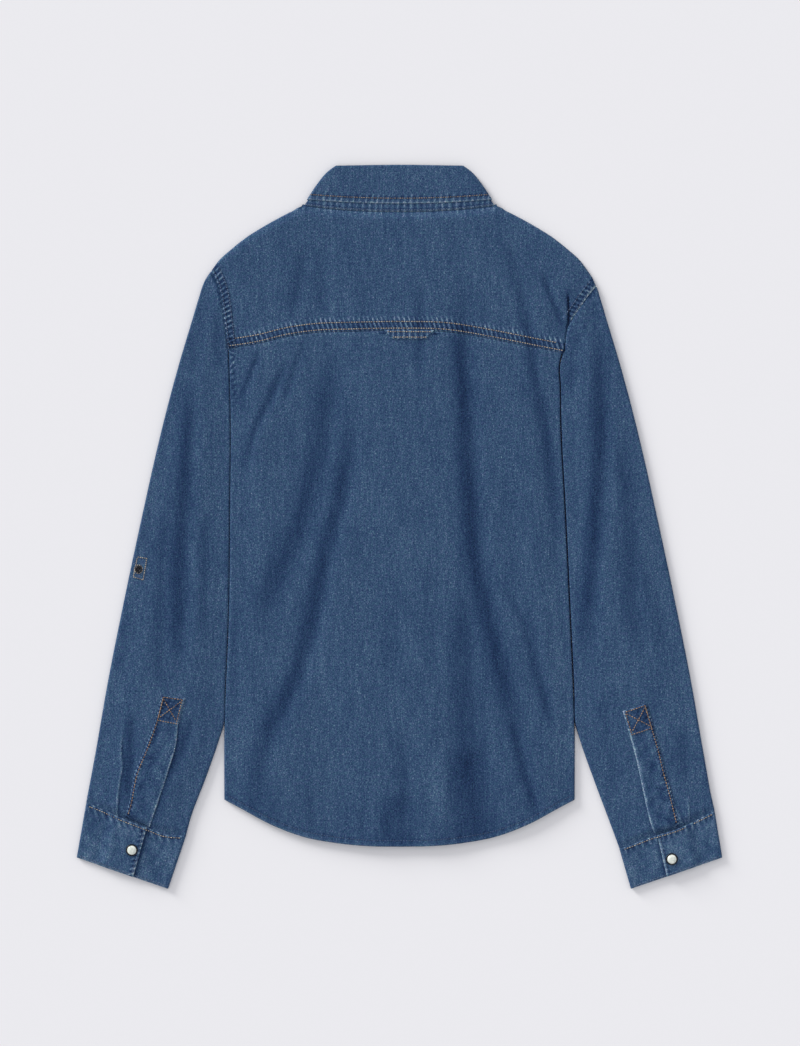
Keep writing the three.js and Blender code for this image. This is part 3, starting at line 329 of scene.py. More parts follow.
# %% Tables of creases
BODY_CREASES = [
    ([(-142, 177), (-149, 155), (-163, 122)], 1.1, 3.5, 3.5),
    ([(-114, 170), (-130, 130), (-148, 92), (-157, 47)], 1.1, 4.4, 4.2),
    ([(-96, 187), (-106, 158), (-118, 122)], 0.7, 4, 4),
    ([(-72, 187), (-74, 127), (-90, 47), (-110, -23), (-132, -65), (-144, -124)], 1.3, 10, 14),
    ([(-50, 135), (-58, 41), (-74, -18), (-88, -89), (-102, -141), (-124, -193), (-142, -243)], 1.6, 9, 9),
    ([(20, 252), (18, 182), (16, 147)], 0.6, 6, 6),
    ([(-38, 257), (-38, 157)], 0.3, 7, 7),
    ([(58, 262), (60, 187), (64, 123), (68, 53), (74, -33), (86, -89), (98, -136), (116, -203),
      (130, -251)], 1.9, 8, 12),
    ([(60, -58), (62, -123), (66, -198), (76, -273)], 1.2, 9, 18),
    ([(0, -198), (2, -248), (0, -301)], 0.6, 9, 9),
    ([(38, -213), (38, -263), (38, -311)], -0.5, 8, 8),
    ([(118, 252), (130, 177), (146, 92), (152, 37), (156, -28)], 1.3, 6, 6),
    ([(96, -48), (120, -88), (136, -148), (160, -213)], 0.8, 4, 5),
    ([(124, -73), (136, -123), (150, -208)], 0.6, 5, 5),
    ([(140, 257), (152, 227), (166, 192)], 1.3, 3.2, 3.4),
    ([(106, 287), (116, 247), (122, 212)], 0.6, 6, 6),
    ([(-100, 282), (-102, 247), (-110, 212)], 0.6, 7, 7),
    ([(-82, 287), (-80, 247), (-80, 212)], 0.4, 6, 6),
    ([(-10, -77), (-10, -148)], 0.3, 8, 8),
    ([(148, -33), (156, -113), (166, -208)], -0.2, 5, 5),
    ([(100, 107), (106, 7), (112, -73)], 0.3, 10, 10),
    ([(-164, -33), (-166, -113), (-168, -193)], 0.4, 5, 5),
    ([(-90, -263), (-88, -288), (-88, -308)], 0.4, 5, 5),
    ([(-40, -278), (-38, -315)], 0.4, 5, 5),
    ([(-14, -285), (-14, -316)], 0.35, 5, 5),
    ([(30, -33), (28, -113), (26, -173)], 0.3, 10, 10),
    ([(110, -186), (121, -235), (138, -296)], 1.5, 5, 6),
    ([(62, -215), (70, -268), (76, -330)], 1.3, 14, 24),
    ([(-2, -262), (-6, -298), (-6, -335)], 1.0, 14, 18),
    ([(-124, -165), (-140, -230), (-152, -300)], 0.7, 8, 10)]
SLEEVE_CREASES = {
    "left": [
        ([(-212, 157), (-214, 77), (-220, -13), (-222, -98), (-228, -163)], 1.6, 8, 9),
        ([(-232, 37), (-240, -38), (-240, -113), (-244, -173)], 0.7, 7, 7),
        ([(-194, 27), (-196, -48), (-198, -123)], 0.6, 6, 6),
        ([(-268, -178), (-270, -223), (-272, -281)], 1.3, 5, 5),
        ([(-208, -188), (-218, -218), (-232, -253)], 0.9, 6, 6),
        ([(-200, 227), (-204, 187), (-210, 147)], 0.5, 6, 6),
        ([(-188, 237), (-182, 197), (-180, 147)], 0.5, 5, 5),
        ([(-250, 127), (-260, 57)], 0.4, 8, 8),
        ([(-270, -73), (-282, -153)], 0.4, 8, 8)],
    "right": [
        ([(198, 212), (200, 127), (196, 27), (190, -48), (182, -148)], 1.7, 9, 8),
        ([(220, 97), (228, 17), (230, -63), (240, -138)], 0.8, 8, 8),
        ([(180, 207), (172, 167), (166, 127)], 0.6, 6, 6),
        ([(280, -198), (284, -228), (286, -258)], 0.7, 6, 6),
        ([(212, 227), (222, 177), (230, 127)], 0.5, 8, 8),
        ([(240, -13), (252, -73), (264, -133)], 0.4, 9, 9),
        ([(200, -163), (206, -213), (216, -273)], 0.5, 7, 7)]}
print("creases:", len(BODY_CREASES) + sum(len(rows) for rows in SLEEVE_CREASES.values()))

# %% [markdown]
# ## Reading the creases
# To know how deep the cloth is at a place, we measure how far the place lies from each trough's line
# and how far along it. The depth falls off like a bell on both sides and fades out at both ends.
# Simulated cloth would fold too, but not where the tables want it.

# %% Depth of the creases
WALL_SHIFT = 0.7  # from a trough's dark wall to its bottom, as a share of its width


def beside(x, y, line):
    """Distance to a line of points, positive on its left, and the length along it"""
    best = np.full(x.shape, 1e9)
    side = np.ones(x.shape)
    along = np.zeros(x.shape)
    start = 0.0
    for a, b in zip(line[:-1], line[1:]):
        span = b - a
        length = np.hypot(*span)
        t = np.clip(((x - a[0]) * span[0] + (y - a[1]) * span[1]) / length ** 2, 0, 1)
        away = np.hypot(x - a[0] - t * span[0], y - a[1] - t * span[1])
        closer = away < best
        best = np.where(closer, away, best)
        side = np.where(closer, np.sign(span[0] * (y - a[1]) - span[1] * (x - a[0])), side)
        along = np.where(closer, start + t * length, along)
        start += length
    return best * side, along


def creases(x, y, rows, shift):
    """Depth of all troughs at a place, each moved right by a share of its width"""
    total = np.zeros(np.shape(x))
    for line, depth, width, end_width in rows:
        line = curve(line)(np.linspace(0, 1, 12))
        whole = length_of(np.diff(line, axis=0)).sum()
        reach = 3 * max(width, end_width)
        near = ((x > line[:, 0].min() - reach) & (x < line[:, 0].max() + reach)
                & (y > line[:, 1].min() - 1) & (y < line[:, 1].max() + 1))
        if not near.any():
            continue
        away, along = beside(x[near] - shift * (width + end_width) / 2, y[near], line)
        share = along / whole
        fade = smooth(0, 0.22, share) * (1 - smooth(0.78, 1, share))
        total[near] += depth * fade * np.exp(-(away / mix(width, end_width, share)) ** 2)
    return total


def drape(x, y):
    """The slight waviness of cloth that nobody ironed flat"""
    return (0.16 * np.sin(x / 23 + 1.2 * np.sin(y / 71)) + 0.12 * np.sin(x / 11 + y / 63 + 1.7)
            + 0.10 * np.sin(y / 29 - x / 47 + 0.6))


print("waviness at the centre (mm):", round(float(drape(0, 0)), 3))

# %% [markdown]
# ## Height of the cloth
# Over the folded edges the cloth is low, inside them it rises on the trapped air and on the lapped
# fronts, and the creases cut into it. One function gives the height of the back and one that of a
# sleeve, so stitches and trims can ask for the same height as the cloth that they lie on.

# %% Height of the back and of the sleeves
CREASE_GAIN = 0.62
EDGE_RISE = 33  # the cloth has reached its full height this far inside a folded edge


def back_height(x, y):
    """Outer surface of the back and the yoke"""
    from_side = np.minimum(x - body_edge("left", y), body_edge("right", y) - x)
    rise = smooth(FOLD_INSET, EDGE_RISE, from_side)
    from_top = smooth(0, 9, top_edge(x) - y)
    crown = (1.2 * rise + 1.1 * np.exp(-(x / 62) ** 4)) * from_top
    fold = CREASE_GAIN * creases(x, y, BODY_CREASES, WALL_SHIFT) - drape(x, y)
    height = FOLD_TOP + crown - fold * rise * from_top
    least = FOLD_TOP - 0.9 + 1.6 * np.exp(-(x / 36) ** 6) * from_top
    return np.clip(height, np.where(rise > 0, least, FOLD_TOP), 6.6) + CLOTH / 2


def sleeve_inner(side):
    """The sleeve's inner edge, from the cuff up past the body to where the yoke covers it"""
    sign = SIGN[side]
    ys = [-196, -170, -140, -81, -20, 30, 80, 110, 140, 160, 174]
    beside_body = [(float(side_at[side](y)) + sign * SLEEVE_GAP, y) for y in ys]
    free = [(sign * x, y) for x, y in SLEEVE_FREE]
    return [CUFF_SEAM[side][-1]] + free + beside_body + SLEEVE_CUT[side]


inner_at = {side: reader([(y, x) for x, y in sleeve_inner(side)]) for side in SIGN}


def sleeve_height(side, x, y):
    """Outer surface of a sleeve's upper layer"""
    from_outer = outer_at(y) - np.abs(x)
    from_inner = np.abs(x) - np.abs(inner_at[side](y))
    rise = smooth(2.3, EDGE_RISE, np.minimum(from_outer, from_inner))
    fold = CREASE_GAIN * creases(x, y, SLEEVE_CREASES[side], WALL_SHIFT) - drape(x, y)
    height = FOLD_TOP + 1.2 * rise - fold * rise
    return np.clip(height, FOLD_TOP - 0.9, 6.2) + CLOTH / 2


sample = np.array([0.0, 64.0, -100.0])
print("height of the back at three places (mm):", back_height(sample, sample * 0).round(2))

# %% [markdown]
# ## A panel of cloth
# Every panel starts as a flat grid of small squares. We then ask, for each corner of the grid, where it
# lies on the shirt, where it lay in the cut cloth, and how faded it is there, with painted shade added
# in creases and folds. The place shapes the panel, the cut becomes its UV map, so the weave follows the
# cloth, and the fading with the painted shade is an attribute that the material reads. A Solidify
# modifier gives the cloth its thickness on the inner side.

# %% How a panel is made
def add_piece(name, mesh, slot, *replaced):
    """Puts a mesh in the scene as a piece of the shirt, in place of the solids it stands for"""
    mesh.polygons.foreach_set("use_smooth", np.ones(len(mesh.polygons), bool))
    made = bpy.data.objects.new(name, mesh)
    bpy.context.collection.objects.link(made)
    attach(made, "root")
    if replaced:
        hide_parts(*replaced)
    print(f"{name}: {len(mesh.polygons)} faces")
    return made


def steps(*spans):
    """Positions of the grid's lines: (from, to, number of squares), one span after the other"""
    values = [spans[0][0]]
    for start, end, count in spans:
        values += list(np.linspace(start, end, count + 1)[1:])
    return np.array(values, float)


def cloth(name, replaced, across, up, place, wall=DENIM, keep=None, slot="denim"):
    """A panel: place(p, v) gives spots, cut, and fading with painted shade, for the grid's corners"""
    bm = bmesh.new()
    bmesh.ops.create_grid(bm, x_segments=len(across) - 1, y_segments=len(up) - 1, size=0.5)
    mesh = mesh_from(name, bm)
    corner = np.empty(len(mesh.vertices) * 3)
    mesh.vertices.foreach_get("co", corner)
    corner = corner.reshape(-1, 3)[:, :2]
    share = (corner - corner.min(axis=0)) / np.ptp(corner, axis=0)
    column = np.rint(share[:, 0] * (len(across) - 1)).astype(int)
    row = np.rint(share[:, 1] * (len(up) - 1)).astype(int)
    spots, cut, wear_and_shade = place(across[column], up[row])
    mesh.vertices.foreach_set("co", (spots * MM).ravel())
    loops = np.empty(len(mesh.loops), int)
    mesh.loops.foreach_get("vertex_index", loops)
    mesh.uv_layers.new(name="cut").data.foreach_set("uv", (cut * MM)[loops].ravel())
    mesh.attributes.new("wear_and_shade", "FLOAT", "POINT").data.foreach_set("value", wear_and_shade)
    if keep is not None:
        bm = bmesh.new()
        bm.from_mesh(mesh)
        bm.verts.ensure_lookup_table()
        stays = keep(spots)
        gone = [face for face in bm.faces if not any(stays[v.index] for v in face.verts)]
        bmesh.ops.delete(bm, geom=gone, context="FACES")
        bm.to_mesh(mesh)
        bm.free()
    mesh.update()
    made = add_piece(name, mesh, slot, replaced)
    solid = made.modifiers.new("wall", "SOLIDIFY")
    solid.thickness = wall * MM
    solid.offset = -1
    return made


print("a grid of two spans:", steps((0, 1, 2), (1, 2, 1)))

# %% [markdown]
# ## Puckers, wrinkles, wear and painted shade
# Washing shrinks the thread more than the cloth, so a seam draws the cloth up into short ribs, and the
# ribs rub pale. Each of these functions gives one such effect as a number for a place, and every
# panel adds up the ones that it shows; one of them paints the shade in the folded sides. A picture of
# wear would be quicker, but it wouldn't follow the seams' lines.

# %% Puckers, wrinkles, wear and painted shade
def crumple(x, y):
    """Short soft wrinkles, from -1 to 1, as a stiff band keeps them from the wash"""
    return np.sin(x / 3.1 + 1.7 * np.sin(y / 6.3)) * np.sin(y / 4.3 - x / 9.7 + 1.1 * np.sin(x / 7.9))


def part_of_tube(p):
    """Which of a flat tube's five parts a place is in, how far along it, and whether that is a fold"""
    stage = np.minimum(np.floor(p), 4)
    return stage, p - stage, (stage == 1) | (stage == 3)


def spots_of(plan_points, height):
    return np.concatenate([plan_points, np.asarray(height, float)[:, None]], axis=1)


def painted_side_shade(p, left, right):
    """Painted shade of the folded sides: dark where the cloth turns away from the light, into a gap"""
    stage, t, bent = part_of_tube(p)
    amount = np.where(stage == 1, left, right) * bent
    return -0.05 - amount * smooth(0.16, 0.36, np.where(stage == 1, 1 - t, t))


def rope(along, pitch):
    """The puckers of a washed seam: 0 in a hollow, 1 on a rib, a little uneven"""
    wobble = 1.2 * np.sin(along / 19 + 0.7) + 0.8 * np.sin(along / 7.7 + 2.0)
    strength = 0.93 + 0.07 * np.sin(along / 6.1 + 0.9 * np.sin(along / 17))
    return (0.5 + 0.5 * np.cos(2 * np.pi * along / pitch + wobble)) * strength


def band(value, low, high, soft=1.0):
    """1 between two values, falling to 0 over a soft edge"""
    return smooth(low - soft, low, value) * (1 - smooth(high, high + soft, value))


def line_at(value, centre, width):
    """1 on a line, falling off like a bell"""
    return np.exp(-((value - centre) / width) ** 2)


print("wear in a side fold:", painted_side_shade(np.array([1.0]), 0.15, 2.2))

# %% [markdown]
# ## A flat tube
# The body and the sleeves are tubes of cloth that were pressed flat. We follow one round in five
# parts: underneath, round the left fold, over the top, round the right fold, and underneath again.
# A fold is half a circle that stands out from the plan. One function does this for every tube,
# because only the plan and the height of the upper layer differ.

# %% Flat tubes
def flat_tube(p, v, plan, height, lip_left, lip_right):
    """Outer surface of a flattened tube: under, round the left fold, over, round the right fold, under.
    Gives the spots and how far round the fold each one lies, in millimetres, from the upper layer."""
    stage, t, bent = part_of_tube(p)
    left, right = plan(0 * v, v), plan(0 * v + 1, v)
    width = length_of(right - left)
    share = FOLD_INSET / width
    across = np.where(stage == 2, mix(share, 1 - share, t), np.where(stage < 2, share, 1 - share))
    lip = np.where(stage == 0, lip_left(v) * (1 - t), np.where(stage == 4, -lip_right(v) * t, 0)) / width
    flat = plan(across + lip, v)
    fold = plan(across, v)
    side = np.where(stage < 2, -1, 1)
    out = unit(np.where((side < 0)[:, None], left, right) - fold)
    turn = np.select([stage == 1, stage == 3, stage == 2], [np.pi * (1 - t), np.pi * t, 0 * t], np.pi)
    radius = height(fold[:, 0], fold[:, 1]) / 2
    flat = flat + out * (radius * np.sin(turn) * bent)[:, None]
    z = np.select([stage == 2, bent], [height(flat[:, 0], flat[:, 1]), radius * (1 + np.cos(turn))], 0)
    round_by = side * (radius * turn + np.abs(lip) * width) * (stage != 2)
    return spots_of(flat, z), fold, round_by


print("a fold is", round(2 * FOLD_INSET, 2), "mm thick")

# %% [markdown]
# ## The seam between back and yoke
# The yoke lies over the back's upper edge, and a twin row of stitches holds the seam. We raise small
# ribs along it and fade their tops, where the real indigo rubs off. Both panels read the same
# function, so a rib runs on from one to the other.

# %% The puckered yoke seam
YOKE_OVER = 0.3  # the yoke's lower edge lies this far below the seam line
YOKE_ROWS = (2.0, 8.7)  # from that line up to either row of stitches
PITCH = 4.7  # from one pucker of the seam to the next
SHADE = 0.27  # how much darker a trough's left wall is for each millimetre of its depth


# Painted shade: each trough's dark streak is darkened in the colour too, on top of what the light does
def painted_fold_shade(x, y, rows):
    return -SHADE * creases(x, y, rows, 0.0)


def yoke_pucker(x, y):
    """Height and fading of the puckered seam between back and yoke"""
    away = y - yoke_seam(x)
    tick = rope(x + 0.35 * away, PITCH)
    inside = band(away, 0.3, YOKE_ROWS[1] + 0.6, 0.8)
    above = band(away, YOKE_ROWS[1] + 0.6, YOKE_ROWS[1] + 2.5, 5) * (1 - inside)
    below = band(away, -2, 0, 6) * (1 - inside)
    row = line_at(away, YOKE_ROWS[0], 0.9) + line_at(away, YOKE_ROWS[1], 0.9)
    raised = 0.25 * inside + 0.32 * tick * (inside + 0.6 * above + 0.3 * below) - 0.25 * row
    wear_and_shade = (1.40 * tick ** 3 - 0.58) * inside + (1.35 * tick ** 4 - 0.18) * above
    return raised, wear_and_shade + (0.60 * tick ** 3 - 0.05) * below - 0.32 * row


print("rows of stitches above the yoke's edge (mm):", YOKE_ROWS)

# %% [markdown]
# ## Plan of the back
# Seen from above, the back runs from fold to fold and from the hem to just past the yoke seam. Its
# two sides and its two ends are lines of the pattern, and the patch fills what lies between them.

# %% Plan of the back
UNDER_YOKE = 2.0  # the body's upper edge runs on under the yoke by this


def between(left, right, end, height):
    """A panel's lower (end 0) or upper (end 1) line, from its left side to its right"""
    def line(u):
        x = mix(left(end)[0], right(end)[0], u)
        return points(x, height(x))
    return line


def back_edge(side):
    def edge(v):
        y = mix(HEM[-1][1], yoke_seam(side_at[side](178.5)) + UNDER_YOKE, v)
        return points(side_at[side](y), y)
    return edge


back_left, back_right = back_edge("left"), back_edge("right")


def hem_height(x):
    return hem_at(np.abs(x))


back_plan = patch(back_left, back_right, between(back_left, back_right, 0.0, hem_height),
                  between(back_left, back_right, 1.0, lambda x: yoke_seam(x) + UNDER_YOKE))
print("middle of the back (mm):", back_plan(0.5, 0.5).round(1))

# %% [markdown]
# ## Back
# The back is a flat tube without its fronts: its sides fold under to the side seams and stop there.
# On that form go the hem's turning, the puckers and the drop under the yoke. The wear is lighter on
# edges and ribs and darker beside them. Painted shade darkens the creases and, most of all, the folds
# that face the sleeves, and painted shadows lie beside the locker loop's ends.

# %% Back
HEM_TURN = 6.0  # from the hem's edge to its row of stitches
HEM_PITCH = 9.0
ARM_PITCH = 4.6
LOOP_END_SHADOWS = [(-16.5, 193.6), (36, 192.6)]  # painted shadows beside the locker loop's ends, where it stands above the back
SLEEVE_FOOT = (-214, -196)  # above this the sleeves lie against the body


def side_lip(y):
    """How far the back runs on underneath, from its fold to the side seam"""
    return mix(10, 1, np.clip((y - 132) / 46, 0, 1))


def place_back(p, v):
    def lip(side_edge):
        return lambda share: side_lip(side_edge(share)[:, 1])

    spots, fold, round_by = flat_tube(p, v, back_plan, back_height, lip(back_left), lip(back_right))
    x, y = spots[:, 0], spots[:, 1]
    on_top = (np.floor(p) == 2)
    under_yoke = smooth(-0.9, 0.5, y - yoke_seam(x))
    raised, wear_and_shade = yoke_pucker(x, y)
    hem = y - hem_height(x)
    raised = raised * (1 - under_yoke) + 0.25 * (1 - smooth(HEM_TURN - 1, HEM_TURN, hem))
    raised += 0.12 * rope(x, HEM_PITCH) * (1 - smooth(2, 14, hem))
    spots[:, 2] += np.where(on_top, raised, 0) - 0.95 * under_yoke * spots[:, 2] / (FOLD_TOP + CLOTH / 2)
    from_side = np.minimum(x - body_edge("left", y), body_edge("right", y) - x)
    # Painted shade darkens the creases; the folded edges rub pale
    wear_and_shade = wear_and_shade + painted_fold_shade(x, y, BODY_CREASES) + 0.20 * line_at(from_side, 0, 2.0)
    wear_and_shade += 0.34 * line_at(hem, 0.4, 1.3) - 0.25 * line_at(hem, HEM_TURN + 0.8, 1.0)
    wear_and_shade -= 0.07 * (1 - smooth(5, 60, hem))
    wear_and_shade += (0.20 * rope(x, HEM_PITCH) - 0.10) * (1 - smooth(4, 11, hem))
    cut = points(fold[:, 0] + np.where(on_top, x - fold[:, 0], round_by), y)
    from_left = x - body_edge("left", y)
    below_arm = band(from_left, -1, 5.5, 1.5) * smooth(112, 140, y)
    wear_and_shade += (1.40 * rope(y + 0.4 * from_left, ARM_PITCH) ** 3 - 0.58) * below_arm
    # Painted shadows beside the locker loop's ends, which stand above the back
    for at_x, at_y in LOOP_END_SHADOWS:
        wear_and_shade -= 0.9 * line_at(np.hypot((x - at_x) / 3.2, (y - at_y) / 1.3), 0, 1)
    # Painted shade in the side folds, deepest where they face the sleeves
    beside_sleeve = smooth(*SLEEVE_FOOT, y)
    return spots, cut, np.where(on_top, wear_and_shade, painted_side_shade(p, 0.15 * beside_sleeve, 2.2 * beside_sleeve))


back_across = steps((0, 1, 3), (1, 2, 6), (2, 3, 228), (3, 4, 6), (4, 5, 3))
back_up = steps((0, 0.02, 8), (0.02, 0.975, 152), (0.975, 1, 13))
back_body = cloth("shirt_back", "back_body", back_across, back_up, place_back)

# %% [markdown]
# ## Plan of the yoke, and its armholes
# The yoke runs from armhole to armhole and from its seam up to the shoulders and the collar. Each
# armhole seam is felled: its edges are turned in and stitched twice, so a raised band of ribs runs
# beside it. We find that band by the distance to the armhole's line.

# %% Plan of the yoke
UNDER_STAND = 1.2  # the yoke runs on under the collar stand by this


def yoke_edge(side):
    def edge(v):
        tip, foot = ARMHOLE[side][0][0], armhole_foot[side]
        y = mix(foot - YOKE_OVER, tip, v)
        inward = -SIGN[side] * 1.6 * (1 - smooth(foot - YOKE_OVER, foot + 2, y))
        return points(armhole_at[side](y) + inward, y)
    return edge


yoke_left, yoke_right = yoke_edge("left"), yoke_edge("right")
yoke_bottom = between(yoke_left, yoke_right, 0.0, lambda x: yoke_seam(x) - YOKE_OVER)
yoke_top = between(yoke_left, yoke_right, 1.0,
                   lambda x: top_edge(x) + np.where(np.abs(x) < NECK_HALF, UNDER_STAND, 0))
yoke_plan = patch(yoke_left, yoke_right, yoke_bottom, yoke_top)
ARM_LINES = {side: curve([(x, y) for y, x in rows])(np.linspace(0, 1, 30))
             for side, rows in ARMHOLE.items()}
ARM_END = {"left": (150, 160), "right": (203, 209)}  # on the right a fold hides the seam below this
ARM_BAND = 8.5  # width of the felled seam
ARM_ROWS = (1.6, 7.6)  # from the armhole's line to either row of stitches


def inside_armhole(side, x, y):
    """How far a place lies on the yoke's side of an armhole's line"""
    away, along = beside(x, y, ARM_LINES[side])
    return np.where(y > armhole_foot[side] - 1, -SIGN[side] * away, -20.0), along


def armhole_pucker(x, y):
    """Height and fading of the felled seams round both armholes"""
    raised, wear_and_shade = np.zeros(x.shape), np.zeros(x.shape)
    for side in SIGN:
        inward, along = inside_armhole(side, x, y)
        slant = 0.35 if side == "left" else -0.35
        tick = rope(along + slant * inward, ARM_PITCH)
        inside = band(inward, -1, ARM_BAND - 1, 1.5) * smooth(*ARM_END[side], y)
        raised += (0.22 + 0.32 * tick) * inside
        if side == "right":
            inside *= smooth(168.8, 170.2, x)
        wear_and_shade += (1.60 * tick ** 3 - 0.62) * inside
        wear_and_shade += (0.25 if side == "left" else 1.5 * inside) * line_at(inward, 0.2, 0.9)
        wear_and_shade -= 0.35 * (line_at(inward, ARM_ROWS[0] + 0.1, 0.8) + line_at(inward, ARM_ROWS[1], 0.8)) * inside
    return raised, wear_and_shade


print("length of the left armhole (mm):", length_of(np.diff(ARM_LINES["left"], axis=0)).sum().round(1))

# %% [markdown]
# ## Yoke
# The yoke lies flat over the back and rolls down over the shoulders to their seams underneath. Near
# the neck it doesn't roll but runs on under the collar. One sharp fold beside the right armhole is
# drawn as its own line, because it is much narrower than the creases: a shallow dip, with its shadow
# painted on as a dark line.

# %% Yoke
YOKE_ROLL = 2.3  # how far the shoulders' rounding stands out
ROLL_DROP = 2.9  # how far it falls
NECK_TURN = 10  # the rounding begins over this length beside the neck
NECK_PITCH = 6.3
YOKE_FOLD = curve([(168.4, 236), (168.9, 222), (169.1, 208.8), (167.3, 192.8), (165.7, 180),
                   (163.6, 172)])(np.linspace(0, 1, 14))


def place_yoke(u, v):
    past = np.maximum(v - 1, 0)
    edge = yoke_top(u)
    turned = smooth(NECK_HALF, NECK_HALF + NECK_TURN, np.abs(edge[:, 0]))
    inside = 1 - YOKE_ROLL * turned / length_of(edge - yoke_bottom(u))
    flat = yoke_plan(u, np.minimum(v, 1) * inside)
    x, y = flat[:, 0], flat[:, 1]
    raised, wear_and_shade = yoke_pucker(x, y)
    arm_raised, arm_wear = armhole_pucker(x, y)
    under_stand = smooth(-1.2, 0.6, y - neck_seam(x)) * (np.abs(x) < NECK_HALF + 2)
    height = back_height(x, y) + (raised + arm_raised) * (1 - turned * smooth(0.9, 1, v))
    height -= 0.9 * under_stand
    out = unit(yoke_plan(u, 0 * v + 1) - yoke_plan(u, 0 * v + 0.98))
    turn = past * np.pi / 2 * turned
    reach = YOKE_ROLL * np.sin(turn) + past * 0.1 * (1 - turned)
    spots = spots_of(flat + out * reach[:, None], height - ROLL_DROP * (1 - np.cos(turn)))
    from_top = top_edge(x) - y
    # Painted shade darkens the creases on the yoke too
    wear_and_shade = wear_and_shade + arm_wear + painted_fold_shade(x, y, BODY_CREASES) + 0.20 * line_at(from_top, 0, 2.2) * turned
    away, along = beside(x, y, YOKE_FOLD)
    sharp = smooth(0, 10, along) * (y < 237)
    # Painted shadow: the sharp fold's dark line, over the shallow dip made below
    wear_and_shade -= 2.2 * sharp * line_at(away, 0, 0.8)
    spots[:, 2] -= 1.2 * sharp * line_at(away, 0, 1.0)
    wear_and_shade += 0.30 * line_at(y - yoke_seam(x), -YOKE_OVER, 0.9)
    neck = (from_top + 0.6) * (np.abs(x) < NECK_HALF + 6) + 40 * (np.abs(x) >= NECK_HALF + 6)
    wear_and_shade += (0.50 * rope(x, NECK_PITCH) ** 3 - 0.05) * band(neck, 0, 2, 6) - 0.35 * line_at(neck, 0, 1.0)
    cut = points(x, y + past * YOKE_ROLL * 1.5)
    return spots, cut, wear_and_shade


yoke_across = steps((0, 0.05, 16), (0.05, 0.95, 356), (0.95, 1, 16))
yoke_up = steps((0, 0.14, 14), (0.14, 0.93, 86), (0.93, 1, 7), (1, 2, 5))
back_yoke = cloth("shirt_yoke", "back_yoke", yoke_across, yoke_up, place_yoke)

# %% [markdown]
# ## Plan and pleats of the sleeves
# A sleeve narrows from its head to the cuff, and what fullness is left there is taken in by small
# pleats. A pleat is cloth folded over itself, so it is steep on one side and runs out on the other,
# and its edge rubs pale, with its shadow painted as a dark band beside it.

# %% Plan and pleats of the sleeves
PLACKET_EDGES = {  # left edge, right edge, from the cuff up
    "left": ([(-274.6, -290.4), (-271, -278.2), (-265, -247.2), (-254, -220.2), (-244, -193.2),
              (-237.5, -168.2)],
             [(-249.8, -300.4), (-242.9, -280.2), (-232, -247), (-222.7, -214), (-221.5, -200.2),
              (-214.5, -171.2)]),
    "right": ([(254.9, -306.6), (251.5, -298.2), (246.5, -278.2), (241.5, -255.2), (236.5, -232.2),
               (230.5, -210.2), (223, -184.2)],
              [(279.8, -299), (276, -282), (271, -262.8), (266, -245.2), (261, -224.2), (254, -200.2),
               (247, -176.2)])}
cuff_seam_at = {side: reader(rows) for side, rows in CUFF_SEAM.items()}


def sleeve_plan(side):
    seam = curve([(x, y + 0.6) for x, y in CUFF_SEAM[side]])
    rows = [(SIGN[side] * x, y) for y, x in reversed(OUTER) if y > CUFF_SEAM[side][0][1] + 6]
    outer = curve([tuple(seam(0.0))] + rows + [SLEEVE_TOP[side]])
    inner = curve([tuple(seam(1.0))] + sleeve_inner(side)[1:])
    plan = patch(outer, inner, seam, lambda u: lerp(outer(1.0), inner(1.0), u))
    return plan if side == "left" else lambda u, v: plan(1 - u, v)


PLEATS = {  # points from the top down, height
    "left": [([(-276, -198), (-277.9, -229.2), (-276.7, -239.2), (-279.9, -257.2), (-282.2, -288)], 0.9)],
    "right": [([(288, -262), (289.5, -276.7), (290.5, -296)], 0.6), ([(268, -262), (283.5, -297)], 0.5)]}


def pleats(side, x, y):
    """Height, pale edges and painted shadows of the pleats that take the sleeve's fullness into the cuff"""
    raised, wear_and_shade = np.zeros(x.shape), np.zeros(x.shape)
    for line, high in PLEATS[side]:
        line = curve(line)(np.linspace(0, 1, 12))
        away, along = beside(x, y, line)
        there = smooth(0, 22, along) * (y < line[0][1]) * high
        raised += there * (1 - smooth(-0.4, 1.0, away)) * np.exp(-np.maximum(-away, 0) / 8)
        # Painted shadow beside the pleat's edge, which itself is rubbed pale
        dark = (away > 0.2) * np.exp(-np.abs(away) / 3.5)
        wear_and_shade += there * (0.75 * line_at(away, -0.7, 0.9) - 0.50 * dark)
    return raised, wear_and_shade


print("pleats:", {side: len(rows) for side, rows in PLEATS.items()})

# %% [markdown]
# ## Sleeves
# A sleeve is one panel rolled into a tube and pressed flat, so the flat tube makes it too. Its head
# tucks in under the yoke's edge and its end tucks in under the cuff, as sewn cloth does. We let both
# run on a little, lower them, and delete what lies deeper under the yoke.

# %% Sleeves
CUFF_TUCK = 3.0  # the upper layer runs on under the cuff by this
ARM_TUCK = 5.0  # the head runs on under the yoke by this
UNDERARM = 8  # from the folded edge to the underarm seam, underneath
GATHER_PITCH = 8.5


def width_of(plan, v):
    return length_of(plan(0 * v + 1, v) - plan(0 * v, v))


